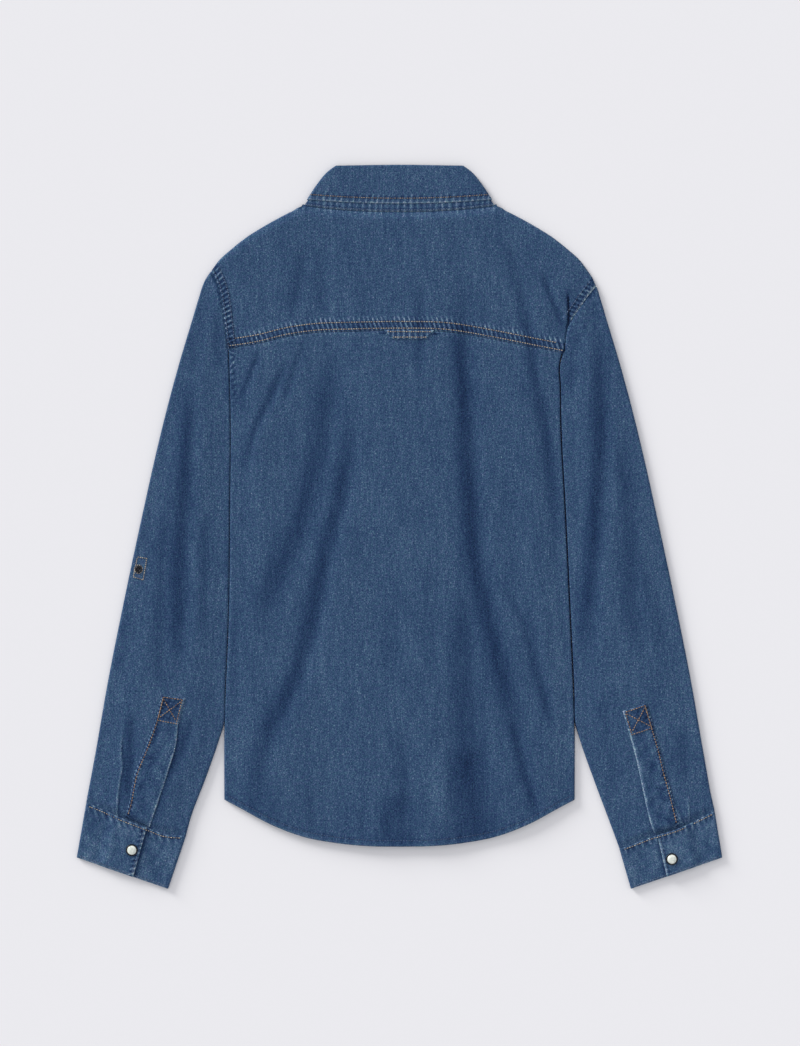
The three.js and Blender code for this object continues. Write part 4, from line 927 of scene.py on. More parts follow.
def sleeve(side):
    plan = sleeve_plan(side)

    def long_lip(v):
        return width_of(plan, v) - 2 * FOLD_INSET - UNDERARM - SEAM

    def short_lip(v):
        return 0 * v + UNDERARM

    def height(x, y):
        return sleeve_height(side, x, y)

    lips = (long_lip, short_lip) if side == "left" else (short_lip, long_lip)

    def place(p, v):
        past = np.minimum(v, 0)
        spots, fold, round_by = flat_tube(p, np.maximum(v, 0), plan, height, *lips)
        x, y = spots[:, 0].copy(), spots[:, 1].copy()  # copies, because the spots move below
        on_top = np.floor(p) == 2
        above_cuff = y - cuff_seam_at[side](x)
        inward, along = inside_armhole(side, x, y)
        tucked = smooth(-1.6, 0.6, inward)
        # Painted shade darkens the sleeve's creases
        wear_and_shade = painted_fold_shade(x, y, SLEEVE_CREASES[side])
        gather = rope(x + 0.2 * y, GATHER_PITCH) * (1 - smooth(3, 20, above_cuff)) * on_top
        tick = rope(along + 0.5 * inward, ARM_PITCH)
        near_arm = band(inward, -3, 0, 5) * (1 - tucked)
        pleat, pleat_wear_and_shadow = pleats(side, x, y)
        raised = 0.35 * gather + 0.18 * tick * near_arm + pleat
        wear_and_shade += pleat_wear_and_shadow + 0.20 * gather - 0.08 * (1 - smooth(3, 16, above_cuff))
        wear_and_shade += (0.24 * tick - 0.08) * near_arm
        # Painted shadow: a dark line on the sleeve just outside the yoke's armhole edge
        wear_and_shade -= 0.60 * line_at(inward, -1.8, 0.9) * smooth(212, 232, y)
        spots[:, 2] += np.where(on_top, raised, 0)
        if side == "left":
            strip = curve(PLACKET_EDGES["left"][1][::-1])(np.linspace(0, 1, 16))
            from_strip, _ = beside(x, y, strip)
            # Painted shadow of the placket's free edge on the sleeve
            shade = (from_strip > -1) * np.exp(-np.maximum(from_strip, 0) / 3)
            wear_and_shade -= 0.60 * shade * band(y, -300, -200, 12)
        near_cuff = (1 - smooth(0.5, 9, above_cuff)) * on_top
        spots[:, 2] = mix(spots[:, 2], 3.1, near_cuff)
        spots[:, 2] = mix(spots[:, 2], 2.0 + (spots[:, 2] - 1.9) * 0.25, tucked)
        spots[:, 0] -= SIGN[side] * 1.6 * tucked
        spots[:, 1] += past * np.where(on_top, 1, 0.08)
        cut = points(fold[:, 0] + np.where(on_top, x - fold[:, 0], round_by), y + past)
        # Painted shade in the folded side that faces the body
        beside_body = smooth(*SLEEVE_FOOT, y)
        depth = (0, 0.15 * beside_body) if side == "left" else (2.2 * beside_body, 0)
        return spots, cut, np.where(on_top, wear_and_shade, painted_side_shade(p, *depth))

    def keep(spots):
        return inside_armhole(side, spots[:, 0], spots[:, 1])[0] < ARM_TUCK

    lip_steps = (10, 3) if side == "left" else (3, 10)
    across = steps((0, 1, lip_steps[0]), (1, 2, 6), (2, 3, 96), (3, 4, 6), (4, 5, lip_steps[1]))
    up = steps((-CUFF_TUCK, 0, 2), (0, 0.05, 16), (0.05, 1, 240))
    return cloth(f"shirt_sleeve_{side}", f"sleeve_{side}", across, up, place, keep=keep)


sleeves = {side: sleeve(side) for side in SIGN}

# %% [markdown]
# ## Cuffs
# A cuff is a doubled band with a stiff layer inside, so it keeps flat and its edges are round. It
# starts at its hidden end, goes round the inner fold, underneath, round the outer fold and over its
# own start, where the snap closes it. These are the same five parts as a flat tube's, but the last
# one climbs over the first, so the cuff gets its own function.

# %% Cuffs
CUFF_LOW = 3.8  # outer surface of the cuff's upper layer
CUFF_HIGH = 5.7  # the same where it laps over its own start
CUFF_WALL = 1.5
CUFF_DEPTH = 52
CUFF_UNDERLAP = 0.36  # share of its width at which the hidden end begins
LAP_PITCH = 5.2
CUFF_PITCH = 6.5


def cuff_edges(side):
    hem, seam = curve(CUFF_HEM[side]), curve(CUFF_SEAM[side])

    def end(share):
        return lambda v: lerp(hem(share), seam(share), v)

    return patch(end(0.0), end(1.0), hem, seam)


def cuff_climb(share):
    """Height of the lapping end over the underlap"""
    return mix(CUFF_LOW, CUFF_HIGH, smooth(0.2, 0.33, share))


cuff_plan = {side: cuff_edges(side) for side in SIGN}


def cuff(side):
    plan, lap_end = cuff_plan[side], CUFF_LAP_END[side]

    def place(p, v):
        stage, t, bent = part_of_tube(p if side == "left" else 5 - p)
        length = width_of(plan, v)
        edge = CUFF_LOW / 2 / length
        share = np.select(
            [stage == 0, stage == 1, stage == 2, stage == 3],
            [mix(CUFF_UNDERLAP, 1 - edge, t), 1 - edge, mix(1 - edge, edge, t), edge], mix(edge, lap_end, t))
        flat = plan(share, v)
        out = unit(plan(np.where(stage < 2, 1, 0), v) - plan(np.where(stage < 2, 1 - edge, edge), v))
        radius = CUFF_LOW / 2
        turn = np.pi * np.where(stage == 1, t, 1 - t)
        at = flat + out * (radius * np.sin(turn) * bent)[:, None]
        z = np.select([stage == 0, bent, stage == 2],
                      [CUFF_LOW + 0 * t, radius * (1 + np.cos(turn)), 0 * t], cuff_climb(share))
        from_hem, from_seam = v * CUFF_DEPTH, (1 - v) * CUFF_DEPTH
        from_lap = np.where(stage == 4, (lap_end - share) * length, 50)
        rounding = 0.5 * (np.exp(-from_hem / 0.7) + np.exp(-from_seam / 0.7) + np.exp(-from_lap / 0.7))
        on_top = (stage == 0) | (stage == 4)
        wave = 0.10 * np.sin(at[:, 0] / 7 + 1.3) + 0.08 * np.sin(at[:, 1] / 5 + at[:, 0] / 17)
        tick = rope(at[:, 0] + 0.3 * at[:, 1], CUFF_PITCH)
        near_seam, near_lap = band(from_seam, 0, 6, 4), band(from_lap, 0.8, 5, 2)
        rough = crumple(at[:, 0], at[:, 1])
        lap_tick = rope(from_hem + 0.5 * from_lap, LAP_PITCH) * near_lap
        wave = wave + 0.13 * rough + 0.22 * lap_tick
        z = np.where(on_top, z - rounding + wave + 0.30 * tick * near_seam,
                     z + np.where(stage == 2, 0.3, 0) * rounding)
        wear_and_shade = 0.62 * line_at(from_lap, 0.6, 1.3) + 0.34 * line_at(from_hem, 0.4, 1.3)
        wear_and_shade += 0.30 * line_at(from_seam, 0, 0.9) + (0.95 * tick ** 2 - 0.42) * near_seam
        wear_and_shade -= 0.30 * line_at(from_lap, 3.4, 1.2) + 0.40 * line_at(from_seam, 2.3, 0.9)
        wear_and_shade += (1.25 if side == "left" else 0.4) * (lap_tick ** 2 - 0.34 * near_lap)
        wear_and_shade -= 0.04 if side == "left" else 0
        # Painted shade on the underlap, in the step beside the lapping end
        wear_and_shade -= 0.55 * (stage == 0) * line_at(np.maximum(share - lap_end, 0) * length, 0, 2.2)
        wear_and_shade += 0.10 + 0.12 * np.sin(at[:, 0] / 13) * np.sin(at[:, 1] / 9) + 0.13 * rough
        around = np.select([stage == 0, stage == 1, stage == 2, stage == 3],
                           [share * length, length + radius * turn, (2 - share) * length + 4,
                            2 * length + radius * turn], (2 + share) * length + 8)
        return spots_of(at, z), points(around, from_hem), np.where(on_top, wear_and_shade, 0.0)

    forward = steps((0, 1, 52), (1, 2, 7), (2, 3, 30), (3, 4, 7), (4, 4.93, 48), (4.93, 5, 8))
    across = forward if side == "left" else 5 - forward[::-1]
    up = steps((0, 0.05, 5), (0.05, 0.95, 32), (0.95, 1, 5))
    return cloth(f"shirt_cuff_{side}", f"cuff_{side}", across, up, place, wall=CUFF_WALL)


cuffs = {side: cuff(side) for side in SIGN}

# %% [markdown]
# ## Fronts
# The fronts lie face down on the table, so we only see them from below and at the edges. They still
# have their own panels, because a shirt has them: from the side seams to just past the centre, the
# left one lapped under the right. Where a snap's cap lies on the table, the cloth rises over it.

# %% Fronts
SIDE_SEAM_GAP = {"left": 0.6, "right": 1.6}  # from the back's lip to the front
FRONT_SNAP_Y = [222 - 82 * i for i in range(6)]
FRONT_LAP = 1.5  # the right front lies this much higher, on the left one


def neckline(x):
    return 320.8 - 41 * (1 - (np.abs(x) / NECK_HALF) ** 2)


def front_rise(x, y):
    """How far the fronts are lifted off the table, by the caps and by the collar's points"""
    out = np.abs(x)
    cap = np.max([1 - smooth(8, 24, np.abs(y - at)) for at in FRONT_SNAP_Y], axis=0)
    beyond = (out - 94.5) * 0.722 - (y - 323.8) * 0.691
    leaf = (1 - smooth(1.5, 14, beyond)) * smooth(248, 262, y) * (1 - smooth(80, 95, out))
    return 1.3 * np.maximum(cap * (1 - smooth(19, 34, out)), leaf)


def front(side):
    sign = SIGN[side]
    tip_x, tip_y = ARMHOLE[side][0][1], ARMHOLE[side][0][0]
    centre_x = -sign * LAP

    def side_edge(v):
        y = mix(HEM[-1][1], tip_y, v)
        at_seam = side_at[side](y) - sign * (FOLD_INSET + side_lip(y) + SIDE_SEAM_GAP[side])
        return points(np.where(y < armhole_foot[side] + 4, at_seam, armhole_at[side](y)), y)

    def centre_edge(v):
        return points(centre_x, mix(hem_at(LAP), neckline(LAP) - SEAM / 2, v))

    def top(u):
        shoulder = np.asarray(u) < 0.45
        x = np.where(shoulder, mix(tip_x, sign * NECK_HALF, u / 0.45),
                     mix(sign * NECK_HALF, centre_x, (u - 0.45) / 0.55))
        return points(x, np.where(shoulder, top_edge(x), neckline(x) - 2 * SEAM))

    plan = patch(side_edge, centre_edge, between(side_edge, centre_edge, 0.0, hem_height), top)

    def place(u, v):
        flat = plan(1 - u if side == "left" else u, v)
        x, y = flat[:, 0], flat[:, 1]
        lap = 0 if side == "left" else FRONT_LAP * (1 - smooth(19, 34, x))
        hem = y - hem_height(x)
        from_centre = np.abs(x - centre_x)
        wear_and_shade = 0.30 * line_at(from_centre, 0, 1.5) + 0.32 * line_at(hem, 0.4, 1.4)
        wear_and_shade -= 0.2 * line_at(from_centre, 27, 1.2) + 0.2 * line_at(hem, HEM_TURN + 0.8, 1.0)
        return spots_of(flat, front_rise(x, y) + lap), points(x, y), wear_and_shade

    return cloth(f"shirt_front_{side}", f"front_{side}", steps((0, 1, 60)), steps((0, 1, 130)), place,
                 slot="denim_front")


fronts = {side: front(side) for side in SIGN}

# %% [markdown]
# ## Plan of the collar
# The collar is a leaf that rolls over a narrower stand. Both are bands round the neck, pressed flat:
# the back half is on top, and the two ends turn under at the sides. Their plans differ only in their
# lower and upper ends and in the bow of the foot, so one function draws both.

# %% Plan of the collar
COLLAR_SIDE = [(320.8, 97), (330.8, 90.5), (342.8, 82.5), (354.8, 72.5), (362.2, 62.5)]
COLLAR_TOP = 362.2
LEAF_FOOT = (323.2, 327.3)  # height of the leaf's lower edge at the centre and at the sides
LEAF_INSET = 2.5  # the leaf's side folds stand out by this
LEAF_LEVEL = 2.5  # half the height of the rolled leaf
COLLAR_WALL = 1.0
collar_side = reader(COLLAR_SIDE)
roll_out = LEAF_INSET * np.sin(np.radians(50))


def collar_plan(foot_y, head_y, less, foot):
    """The back half of a collar band; foot(share) is its lower edge, from -1 left to 1 right"""
    def side(sign):
        return lambda v: points(sign * (collar_side(mix(foot_y, head_y, v)) - less), mix(foot_y, head_y, v))

    left, right = side(-1), side(1)
    bottom = between(left, right, 0.0, lambda x: foot(x / abs(left(0.0)[0])))
    return patch(left, right, bottom, lambda u: lerp(left(1.0), right(1.0), u))


leaf_plan = collar_plan(LEAF_FOOT[1], COLLAR_TOP - roll_out, 0, lambda share: mix(*LEAF_FOOT, share ** 2))
print("middle of the leaf (mm):", leaf_plan(0.5, 0.5).round(1))

# %% [markdown]
# ## Form of the collar's leaf
# Below, the leaf's ends run from the side folds towards the centre and down to the collar's points.
# Above, the whole leaf rolls over its upper edge. So we first find the flat five-part form, and then
# bend what lies past the upper edge round a quarter circle.

# %% Form of the leaf
LEAF_POINT = (38, 264.8)  # the collar's point, half the distance between the two and height
ROLL_FOOT = (61, 304.8)  # the roll line starts here, at the side, and meets its other half here, below


def leaf_share(v):
    return LEAF_INSET / width_of(leaf_plan, v)


def leaf_fold(sign, v):
    share = leaf_share(v)
    return leaf_plan(share if sign < 0 else 1 - share, v)


def leaf_below(sign, t, v):
    """The leaf's ends, underneath: from the side fold (t = 0) to the centre (t = 1)"""
    start, last = leaf_fold(sign, 0 * v), leaf_fold(sign, 0 * v + 1)
    free = lerp(start, np.array([sign * LEAF_POINT[0], LEAF_POINT[1]]), t)
    fold_x = mix(np.abs(last[..., 0]), 3, t)
    fold_y = mix(last[..., 1], ROLL_FOOT[1], 1 - (fold_x / np.abs(last[..., 0])) ** 1.5)
    bow = (leaf_fold(sign, v) - lerp(start, last, v)) * (1 - t)[..., None]
    return lerp(free, points(sign * fold_x, fold_y), v) + bow


def leaf_flat(p, v):
    """The leaf's outer surface before it rolls over at the top"""
    stage, t, bent = part_of_tube(p)
    share = leaf_share(v)
    left, right = leaf_fold(-1, v), leaf_fold(1, v)
    flat = np.where((stage == 0)[:, None], leaf_below(-1, 1 - t, v), leaf_plan(mix(share, 1 - share, t), v))
    flat = np.where((stage == 4)[:, None], leaf_below(1, t, v), flat)
    side_of = (stage < 2)[:, None]
    fold = np.where(side_of, left, right)
    out = unit(np.where(side_of, leaf_plan(0 * v, v), leaf_plan(0 * v + 1, v)) - fold)
    turn = np.pi * np.where(stage == 1, 1 - t, t)
    at = np.where(bent[:, None], fold + out * (LEAF_INSET * np.sin(turn))[:, None], flat)
    z = np.select([stage == 2, bent], [2 * LEAF_LEVEL + 0 * t, LEAF_LEVEL * (1 + np.cos(turn))], 0.0)
    return at, z, stage, t


def round_the_neck(stage, t, x, end):
    """Place in a collar band's cut: its ends run on for a length past the side folds"""
    return np.select([stage == 0, stage == 1, stage == 3, stage == 4],
                     [-105 - end * (1 - t), -97 - 8 * (1 - t), 97 + 8 * t, 105 + end * t], x)


print("a side fold is this share of the leaf's width:", leaf_share(np.array([0.5])).round(4))

# %% [markdown]
# ## Collar leaf
# On the form go a slight crown, the round edges and the puckers of the row that runs along the foot.
# The edge is the palest place of a washed collar, because nothing protects it, and the dye stays
# dark in the groove of the stitches. Where the leaf rolls down over its top, painted shade darkens it.

# %% Collar leaf
LEAF_PITCH = 5.9


def place_leaf(p, v):
    v1 = np.minimum(v, 1)
    at, z, stage, t = leaf_flat(p, v1)
    below = (stage == 0) | (stage == 4)
    outward = unit(at - leaf_flat(p, np.minimum(v, 0.98))[0])
    roll = np.maximum(v - 1, 0) * np.pi / 2
    at = at + outward * (roll_out * np.sin(roll))[:, None]
    z = LEAF_LEVEL + (z - LEAF_LEVEL) * np.cos(roll)
    from_edge = v1 * 33
    crown = 0.25 * np.sin(np.pi * np.clip(v1, 0, 1)) + 0.10 * np.sin(at[:, 0] / 13) * v1
    edge = 0.45 * np.exp(-from_edge / 0.7)
    tick = rope(at[:, 0] - 0.2 * from_edge, LEAF_PITCH)
    near = band(from_edge, 1.6, 6, 3)
    on_top = stage == 2
    z = z + np.where(on_top, (crown + 0.16 * tick * near - edge) * np.cos(roll), 0)
    z = z + np.where(below, 0.3 * edge, 0)
    wear_and_shade = 0.70 * line_at(from_edge, 0.4, 0.9) - 0.42 * line_at(from_edge, 5.3, 1.0)
    # Painted shade: the rounding that turns down over the top edge is darker
    wear_and_shade += (0.90 * tick ** 3 - 0.20) * near + 0.05 * np.sin(at[:, 0] / 21 + 0.5) - 0.45 * smooth(1.3, 2, v)
    cut = points(round_the_neck(stage, t, at[:, 0], 95), v1 * 36 + np.maximum(v - 1, 0) * 4)
    return spots_of(at, z), cut, wear_and_shade


leaf_across = steps((0, 1, 60), (1, 2, 7), (2, 3, 128), (3, 4, 7), (4, 5, 60))
leaf_up = steps((0, 0.06, 4), (0.06, 1, 26), (1, 2, 7))
collar_leaf = cloth("shirt_collar_leaf", "collar_leaf", leaf_across, leaf_up, place_leaf, wall=COLLAR_WALL)

# %% [markdown]
# ## Collar stand
# The stand is the narrow band that joins the leaf to the neck. Only a strip of it shows below the
# leaf, puckered by the neck seam, but it is made all round, as on the real shirt: its ends run down
# inside the leaf and lap at the centre, the right one climbing over the left.

# %% Collar stand
STAND_TOP = 3.7
STAND_UNDER = 1.3
STAND_RADIUS = (STAND_TOP - STAND_UNDER) / 2
STAND_HEAD = 352.0
STAND_INSIDE = 2.8  # the stand's sides lie this far inside the leaf's
STAND_DEPTH = 30
stand_plan = collar_plan(neck_seam(NECK_HALF) + SEAM / 2, STAND_HEAD, STAND_INSIDE,
                         lambda share: neck_seam(share * NECK_HALF) + SEAM / 2)


def roll_line(x):
    return ROLL_FOOT[1] + 55.5 * (np.abs(x) / ROLL_FOOT[0]) ** 1.5


def stand_below(sign, t, v):
    """The stand's ends, underneath: from the side fold (t = 0) to the lap at the centre (t = 1)"""
    side = 0.0 if sign < 0 else 1.0
    corner = [stand_plan(side, end) for end in (0.0, 1.0)]
    start = stand_plan(0 * v + side, v)
    foot_x = mix(corner[0][0], -sign * 15, t)
    head_x = mix(corner[1][0], -sign * 15, t)
    foot_rise = (corner[0][1] - neckline(corner[0][0])) * (1 - t)
    foot = points(foot_x, neckline(foot_x) + SEAM / 2 + foot_rise)
    fall = (roll_line(corner[1][0]) - 2.5 - corner[1][1]) * (1 - smooth(0, 0.6, t))
    tucked = 6 * smooth(0.28, 0.54, t) if sign > 0 else 0 * t
    head = points(head_x, roll_line(head_x) - 2.5 - fall - tucked)
    return lerp(foot, head, v) + (start - lerp(*corner, v)) * (1 - t)[:, None]


def place_stand(p, v):
    stage, t, bent = part_of_tube(p)
    flat = np.where((stage == 0)[:, None], stand_below(-1, 1 - t, v), stand_plan(t, v))
    flat = np.where((stage == 4)[:, None], stand_below(1, t, v), flat)
    edge = stand_plan(np.where(stage < 2, 0.0, 1.0), v)
    out = unit(edge - stand_plan(np.where(stage < 2, 0.02, 0.98), v))
    turn = np.pi * np.where(stage == 1, 1 - t, t)
    at = np.where(bent[:, None], edge + out * (STAND_RADIUS * np.sin(turn))[:, None], flat)
    climb = 1.3 * np.clip((t - 0.48) / 0.11, 0, 1)
    z = np.select([stage == 2, bent, stage == 4],
                  [STAND_TOP + 0 * t, STAND_UNDER + STAND_RADIUS * (1 + np.cos(turn)), STAND_UNDER + climb],
                  STAND_UNDER)
    from_foot = v * STAND_DEPTH
    tick = rope(at[:, 0], NECK_PITCH)
    raised = 0.25 * tick * band(from_foot, 0, 5, 4) - 0.4 * np.exp(-from_foot / 0.6) + 0.2
    z = z + np.where(stage == 2, raised, 0)
    wear_and_shade = (0.85 * tick ** 2 - 0.20) * band(from_foot, 0.6, 8, 4) + 0.65 * line_at(from_foot, 0.2, 0.9)
    wear_and_shade -= 0.55 * line_at(from_foot, 1.8, 0.8)
    return spots_of(at, z), points(round_the_neck(stage, t, at[:, 0], 98), from_foot), wear_and_shade


stand_across = steps((0, 1, 50), (1, 2, 6), (2, 3, 110), (3, 4, 6), (4, 5, 60))
stand_up = steps((0, 0.15, 4), (0.15, 1, 14))
collar_stand = cloth("shirt_collar_stand", "collar_stand", stand_across, stand_up, place_stand,
                     wall=COLLAR_WALL)

# %% [markdown]
# ## Sleeve plackets
# A placket is a narrow strip with turned edges that finishes the sleeve's slit. It is sewn flat on the
# sleeve, so it follows the sleeve's height and drops at its edges, and looks folded and not like a
# cut board. One long edge is free, and the other is stitched and puckered.

# %% Plackets
STRIP_RAISE = 0.95
STRIP_WIDTH, STRIP_LENGTH = 22, 132
STRIP_PITCH = 4.2
strip_edges = {side: [curve(rows) for rows in PLACKET_EDGES[side]] for side in SIGN}


def placket(side):
    a, b = strip_edges[side]
    free = 1 if side == "left" else 0

    def place(u, v):
        flat = lerp(a(v), b(v), u)
        x, y = flat[:, 0], flat[:, 1]
        wide = length_of(b(v) - a(v))
        from_side = np.minimum(u, 1 - u) * wide
        from_free = np.abs(free - u) * wide
        from_stitched = np.abs(1 - free - u) * wide
        from_top = (1 - v) * STRIP_LENGTH
        drop = 0.45 * (np.exp(-from_side / 0.8) + np.exp(-from_top / 0.8))
        tick = rope(v * STRIP_LENGTH + 0.5 * from_stitched, STRIP_PITCH)
        rough = crumple(x + 3, y * 0.8)
        height = sleeve_height(side, x, y) + STRIP_RAISE - drop + 0.18 * rough
        height += 0.12 * tick * band(from_stitched, 0, 4, 3)
        height = mix(height, 3.55, 1 - smooth(0.5, 8, y - cuff_seam_at[side](x)))
        box = smooth(106, 108, v * STRIP_LENGTH)
        wear_and_shade = 0.75 * line_at(from_free, 0.6, 1.2) + 0.30 * line_at(from_stitched, 0.3, 1.1)
        wear_and_shade += box * (0.75 * rope(x * 0.8 + y, 5.2) * rope(x - y * 0.7, 6.1) - 0.34)
        wear_and_shade += 0.45 * line_at(from_top, 0.3, 1.1) + (1.30 * tick ** 2 - 0.62) * band(from_stitched, 0, 3.4, 2)
        wear_and_shade += 0.20 * rough - 0.35 * line_at(from_stitched, 2.2, 1.0) - 0.05
        slanted = np.maximum(crumple(x * 0.7 + y * 0.5, y * 1.1 - x * 0.4), 0)
        wear_and_shade -= 0.38 * slanted * band(from_stitched, 2.5, 11, 4)
        return spots_of(flat, height), points(u * STRIP_WIDTH, v * STRIP_LENGTH), wear_and_shade

    across = steps((0, 0.12, 4), (0.12, 0.88, 14), (0.88, 1, 4))
    up = steps((0, 0.97, 150), (0.97, 1, 5))
    return cloth(f"shirt_placket_{side}", f"placket_{side}", across, up, place)


plackets = {side: placket(side) for side in SIGN}

# %% [markdown]
# ## Locker loop
# The locker loop is a short strip caught in the yoke seam, by which the shirt hangs on a hook. It is
# folded in three, so it stands a little above the back and its edges are round. We draw it between
# the seam and its own lower edge, as a small panel of its own.

# %% Locker loop
LOOP_FOOT = (-7, 26.5, 187.8)  # left, right, height
LOOP_HEAD = (-15.9, 35)
LOOP_DEPTH = 8.6


def loop_spot(u, v):
    x = mix(mix(LOOP_FOOT[0], LOOP_FOOT[1], u), mix(LOOP_HEAD[0], LOOP_HEAD[1], u), v)
    return x, mix(LOOP_FOOT[2], yoke_seam(x) + 0.4, v)


def place_loop(u, v):
    x, y = loop_spot(u, v)
    from_edge = v * LOOP_DEPTH
    ends = np.minimum(u, 1 - u) * 50
    height = back_height(x, y) + 1.0 - 0.45 * np.exp(-from_edge / 0.7) - 0.3 * np.exp(-ends / 0.8)
    height -= 0.75 * smooth(0.9, 1, v)
    wear_and_shade = 0.45 * line_at(from_edge, 0.3, 0.9) + 0.60 * line_at(ends, 1.5, 2.2) * smooth(0.3, 1, v)
    wear_and_shade += 1.10 * rope(x, 5.6) ** 2 - 0.40
    return spots_of(points(x, y), height), points(x, y), wear_and_shade


loop_across = steps((0, 0.05, 4), (0.05, 0.95, 38), (0.95, 1, 4))
locker_loop = cloth("shirt_locker_loop", "locker_loop", loop_across, steps((0, 0.12, 3), (0.12, 1, 10)),
                    place_loop)

# %% [markdown]
# ## Denim
# Denim's warp is dyed blue only on its outside and its weft is left pale, so washing gives it short
# lighter slubs along the warp, pale flecks, and soft clouds of more and less dye. We read the panel's
# own cut map, so the grain turns with every sleeve and cuff. A real thread is 0.5 mm and too fine to
# show here, so slubs and flecks are drawn 0.7 mm wide and more. Each cloud moves one tone up and down,
# the wear and the painted shade that a panel carries move it too, and a ramp of dye colours turns the
# tone to a colour.

# %% Material of the denim
DENIM_STEPS = [(0.0, "#12203A"), (0.22, "#1F375E"), (0.45, "#385172"), (0.62, "#4F6A8A"),
               (0.80, "#8296AC"), (1.0, "#BCC8D2")]
DENIM_TONE = 0.459  # where unworn cloth lies on the ramp
WEAR_AND_SHADE_GAIN = 0.42
CLOUDS = [  # size across and along the warp in millimetres, strength
    (0.8, 1.9, 0.42), (1.8, 0.8, 0.27), (0.7, 0.7, 0.40), (3.2, 4.5, 0.12), (1.5, 16, 0.15), (8, 50, 0.08),
    (30, 55, 0.06)]
FINE = 3  # clouds shorter than this are thread, so they raise the surface as well
TINT_SIZE = (2.4, 3.4)


def denim():
    """Indigo-dyed cotton twill, garment washed: matt and flecked, greenish here and reddish there"""
    material, tree = surface("indigo denim, garment washed")
    cut = node(tree, "ShaderNodeUVMap", uv_map="cut").outputs["UV"]
    # This attribute carries the cloth's wear and the painted shade of creases, folds and edges together
    worn_and_shaded = node(tree, "ShaderNodeAttribute", attribute_name="wear_and_shade").outputs["Fac"]
    tone = node(tree, "ShaderNodeMath", {0: worn_and_shaded, 1: WEAR_AND_SHADE_GAIN, 2: DENIM_TONE}, operation="MULTIPLY_ADD")
    relief = None
    for across, along, strength in CLOUDS:
        place = node(tree, "ShaderNodeMapping", {"Vector": cut, "Scale": (1000 / across, 1000 / along, 1)})
        cloud = node(tree, "ShaderNodeTexNoise", {"Vector": place.outputs[0], "Scale": 1.0, "Detail": 1.5})
        part = node(tree, "ShaderNodeMath", {0: cloud.outputs["Fac"], 1: strength * 2, 2: -strength},
                    operation="MULTIPLY_ADD")
        tone = node(tree, "ShaderNodeMath", {0: tone.outputs[0], 1: part.outputs[0]}, operation="ADD")
        if along <= FINE:
            relief = part if relief is None else node(
                tree, "ShaderNodeMath", {0: relief.outputs[0], 1: part.outputs[0]}, operation="ADD")
    ramp = node(tree, "ShaderNodeValToRGB", {"Fac": tone.outputs[0]})
    while len(ramp.color_ramp.elements) < len(DENIM_STEPS):
        ramp.color_ramp.elements.new(0.5)
    for stop, (at, colour) in zip(ramp.color_ramp.elements, DENIM_STEPS):
        stop.position = at
        stop.color = linear(colour)
    place = node(tree, "ShaderNodeMapping", {
        "Vector": cut, "Scale": (1000 / TINT_SIZE[0], 1000 / TINT_SIZE[1], 1)})
    tint = node(tree, "ShaderNodeTexNoise", {"Vector": place.outputs[0], "Scale": 1.0, "Detail": 3.0})
    share = node(tree, "ShaderNodeMapRange", {
        "Value": tint.outputs["Fac"], "From Min": 0.38, "From Max": 0.66})
    cast = node(tree, "ShaderNodeMix", {
        "Factor": share.outputs[0], 6: linear("#A9D6CC"), 7: linear("#D6C6DA")}, data_type="RGBA")
    dyed = node(tree, "ShaderNodeMix", {"Factor": 0.55, 6: ramp.outputs["Color"], 7: cast.outputs[2]},
                data_type="RGBA", blend_type="MULTIPLY")
    bump = node(tree, "ShaderNodeBump", {"Height": relief.outputs[0], "Strength": 0.35, "Distance": 0.0006})
    shader = node(tree, "ShaderNodeBsdfPrincipled", {
        "Base Color": dyed.outputs[2], "Roughness": 0.95, "Specular IOR Level": 0.08,
        "Sheen Weight": 0.03, "Sheen Roughness": 0.6, "Normal": bump.outputs[0]})
    node(tree, "ShaderNodeOutputMaterial", {"Surface": shader.outputs[0]})
    return material


washed_denim = denim()
panels = [back_body, back_yoke, *sleeves.values(), *cuffs.values(), *fronts.values(), *plackets.values(),
          collar_leaf, collar_stand, locker_loop]
for panel in panels:
    panel.data.materials.append(washed_denim)
print("panels:", len(panels))

# %% [markdown]
# ## Thread
# The shirt is sewn with spun polyester thread, which takes no indigo: copper, tan and brown where it
# is meant to be seen, and two blues where it isn't. Spun thread is matt, and its fibres catch the
# light unevenly, so each stitch gets a slightly other tone from a fine noise.

# %% Material of the threads
THREADS = {  # light tone, dark tone
    "copper": ("#A38A70", "#43373A"), "tan": ("#A8A294", "#544C4C"), "brown": ("#8B7F76", "#2B282E"),
    "blue grey": ("#5E7290", "#2C3A52"), "navy": ("#43587A", "#26344D")}
THREAD_NOISE = 640.0  # waves per metre, which is 1.6 mm, or about one stitch


def thread(colour_name, light, dark):
    """Spun polyester thread: matt, its colour a little uneven from stitch to stitch"""
    material, tree = surface(f"{colour_name} polyester thread")
    spot = node(tree, "ShaderNodeTexCoord").outputs["Object"]
    noise = node(tree, "ShaderNodeTexNoise", {"Vector": spot, "Scale": THREAD_NOISE, "Detail": 1.0})
    share = node(tree, "ShaderNodeMapRange", {
        "Value": noise.outputs["Fac"], "From Min": 0.35, "From Max": 0.65})
    colour = node(tree, "ShaderNodeMix", {
        "Factor": share.outputs[0], 6: linear(dark), 7: linear(light)}, data_type="RGBA")
    shader = node(tree, "ShaderNodeBsdfPrincipled", {
        "Base Color": colour.outputs[2], "Roughness": 0.7, "Specular IOR Level": 0.3})
    node(tree, "ShaderNodeOutputMaterial", {"Surface": shader.outputs[0]})
    return material


threads = {name: thread(name, *tones) for name, tones in THREADS.items()}
print("threads:", *threads)

# %% [markdown]
# ## Stitches
# Each stitch is a small bead a little shorter than the step to the next. Sinking it in the cloth by
# half its height makes it look sewn in, where a drawn line would look printed. The beads have few
# faces, because there are hundreds of them.

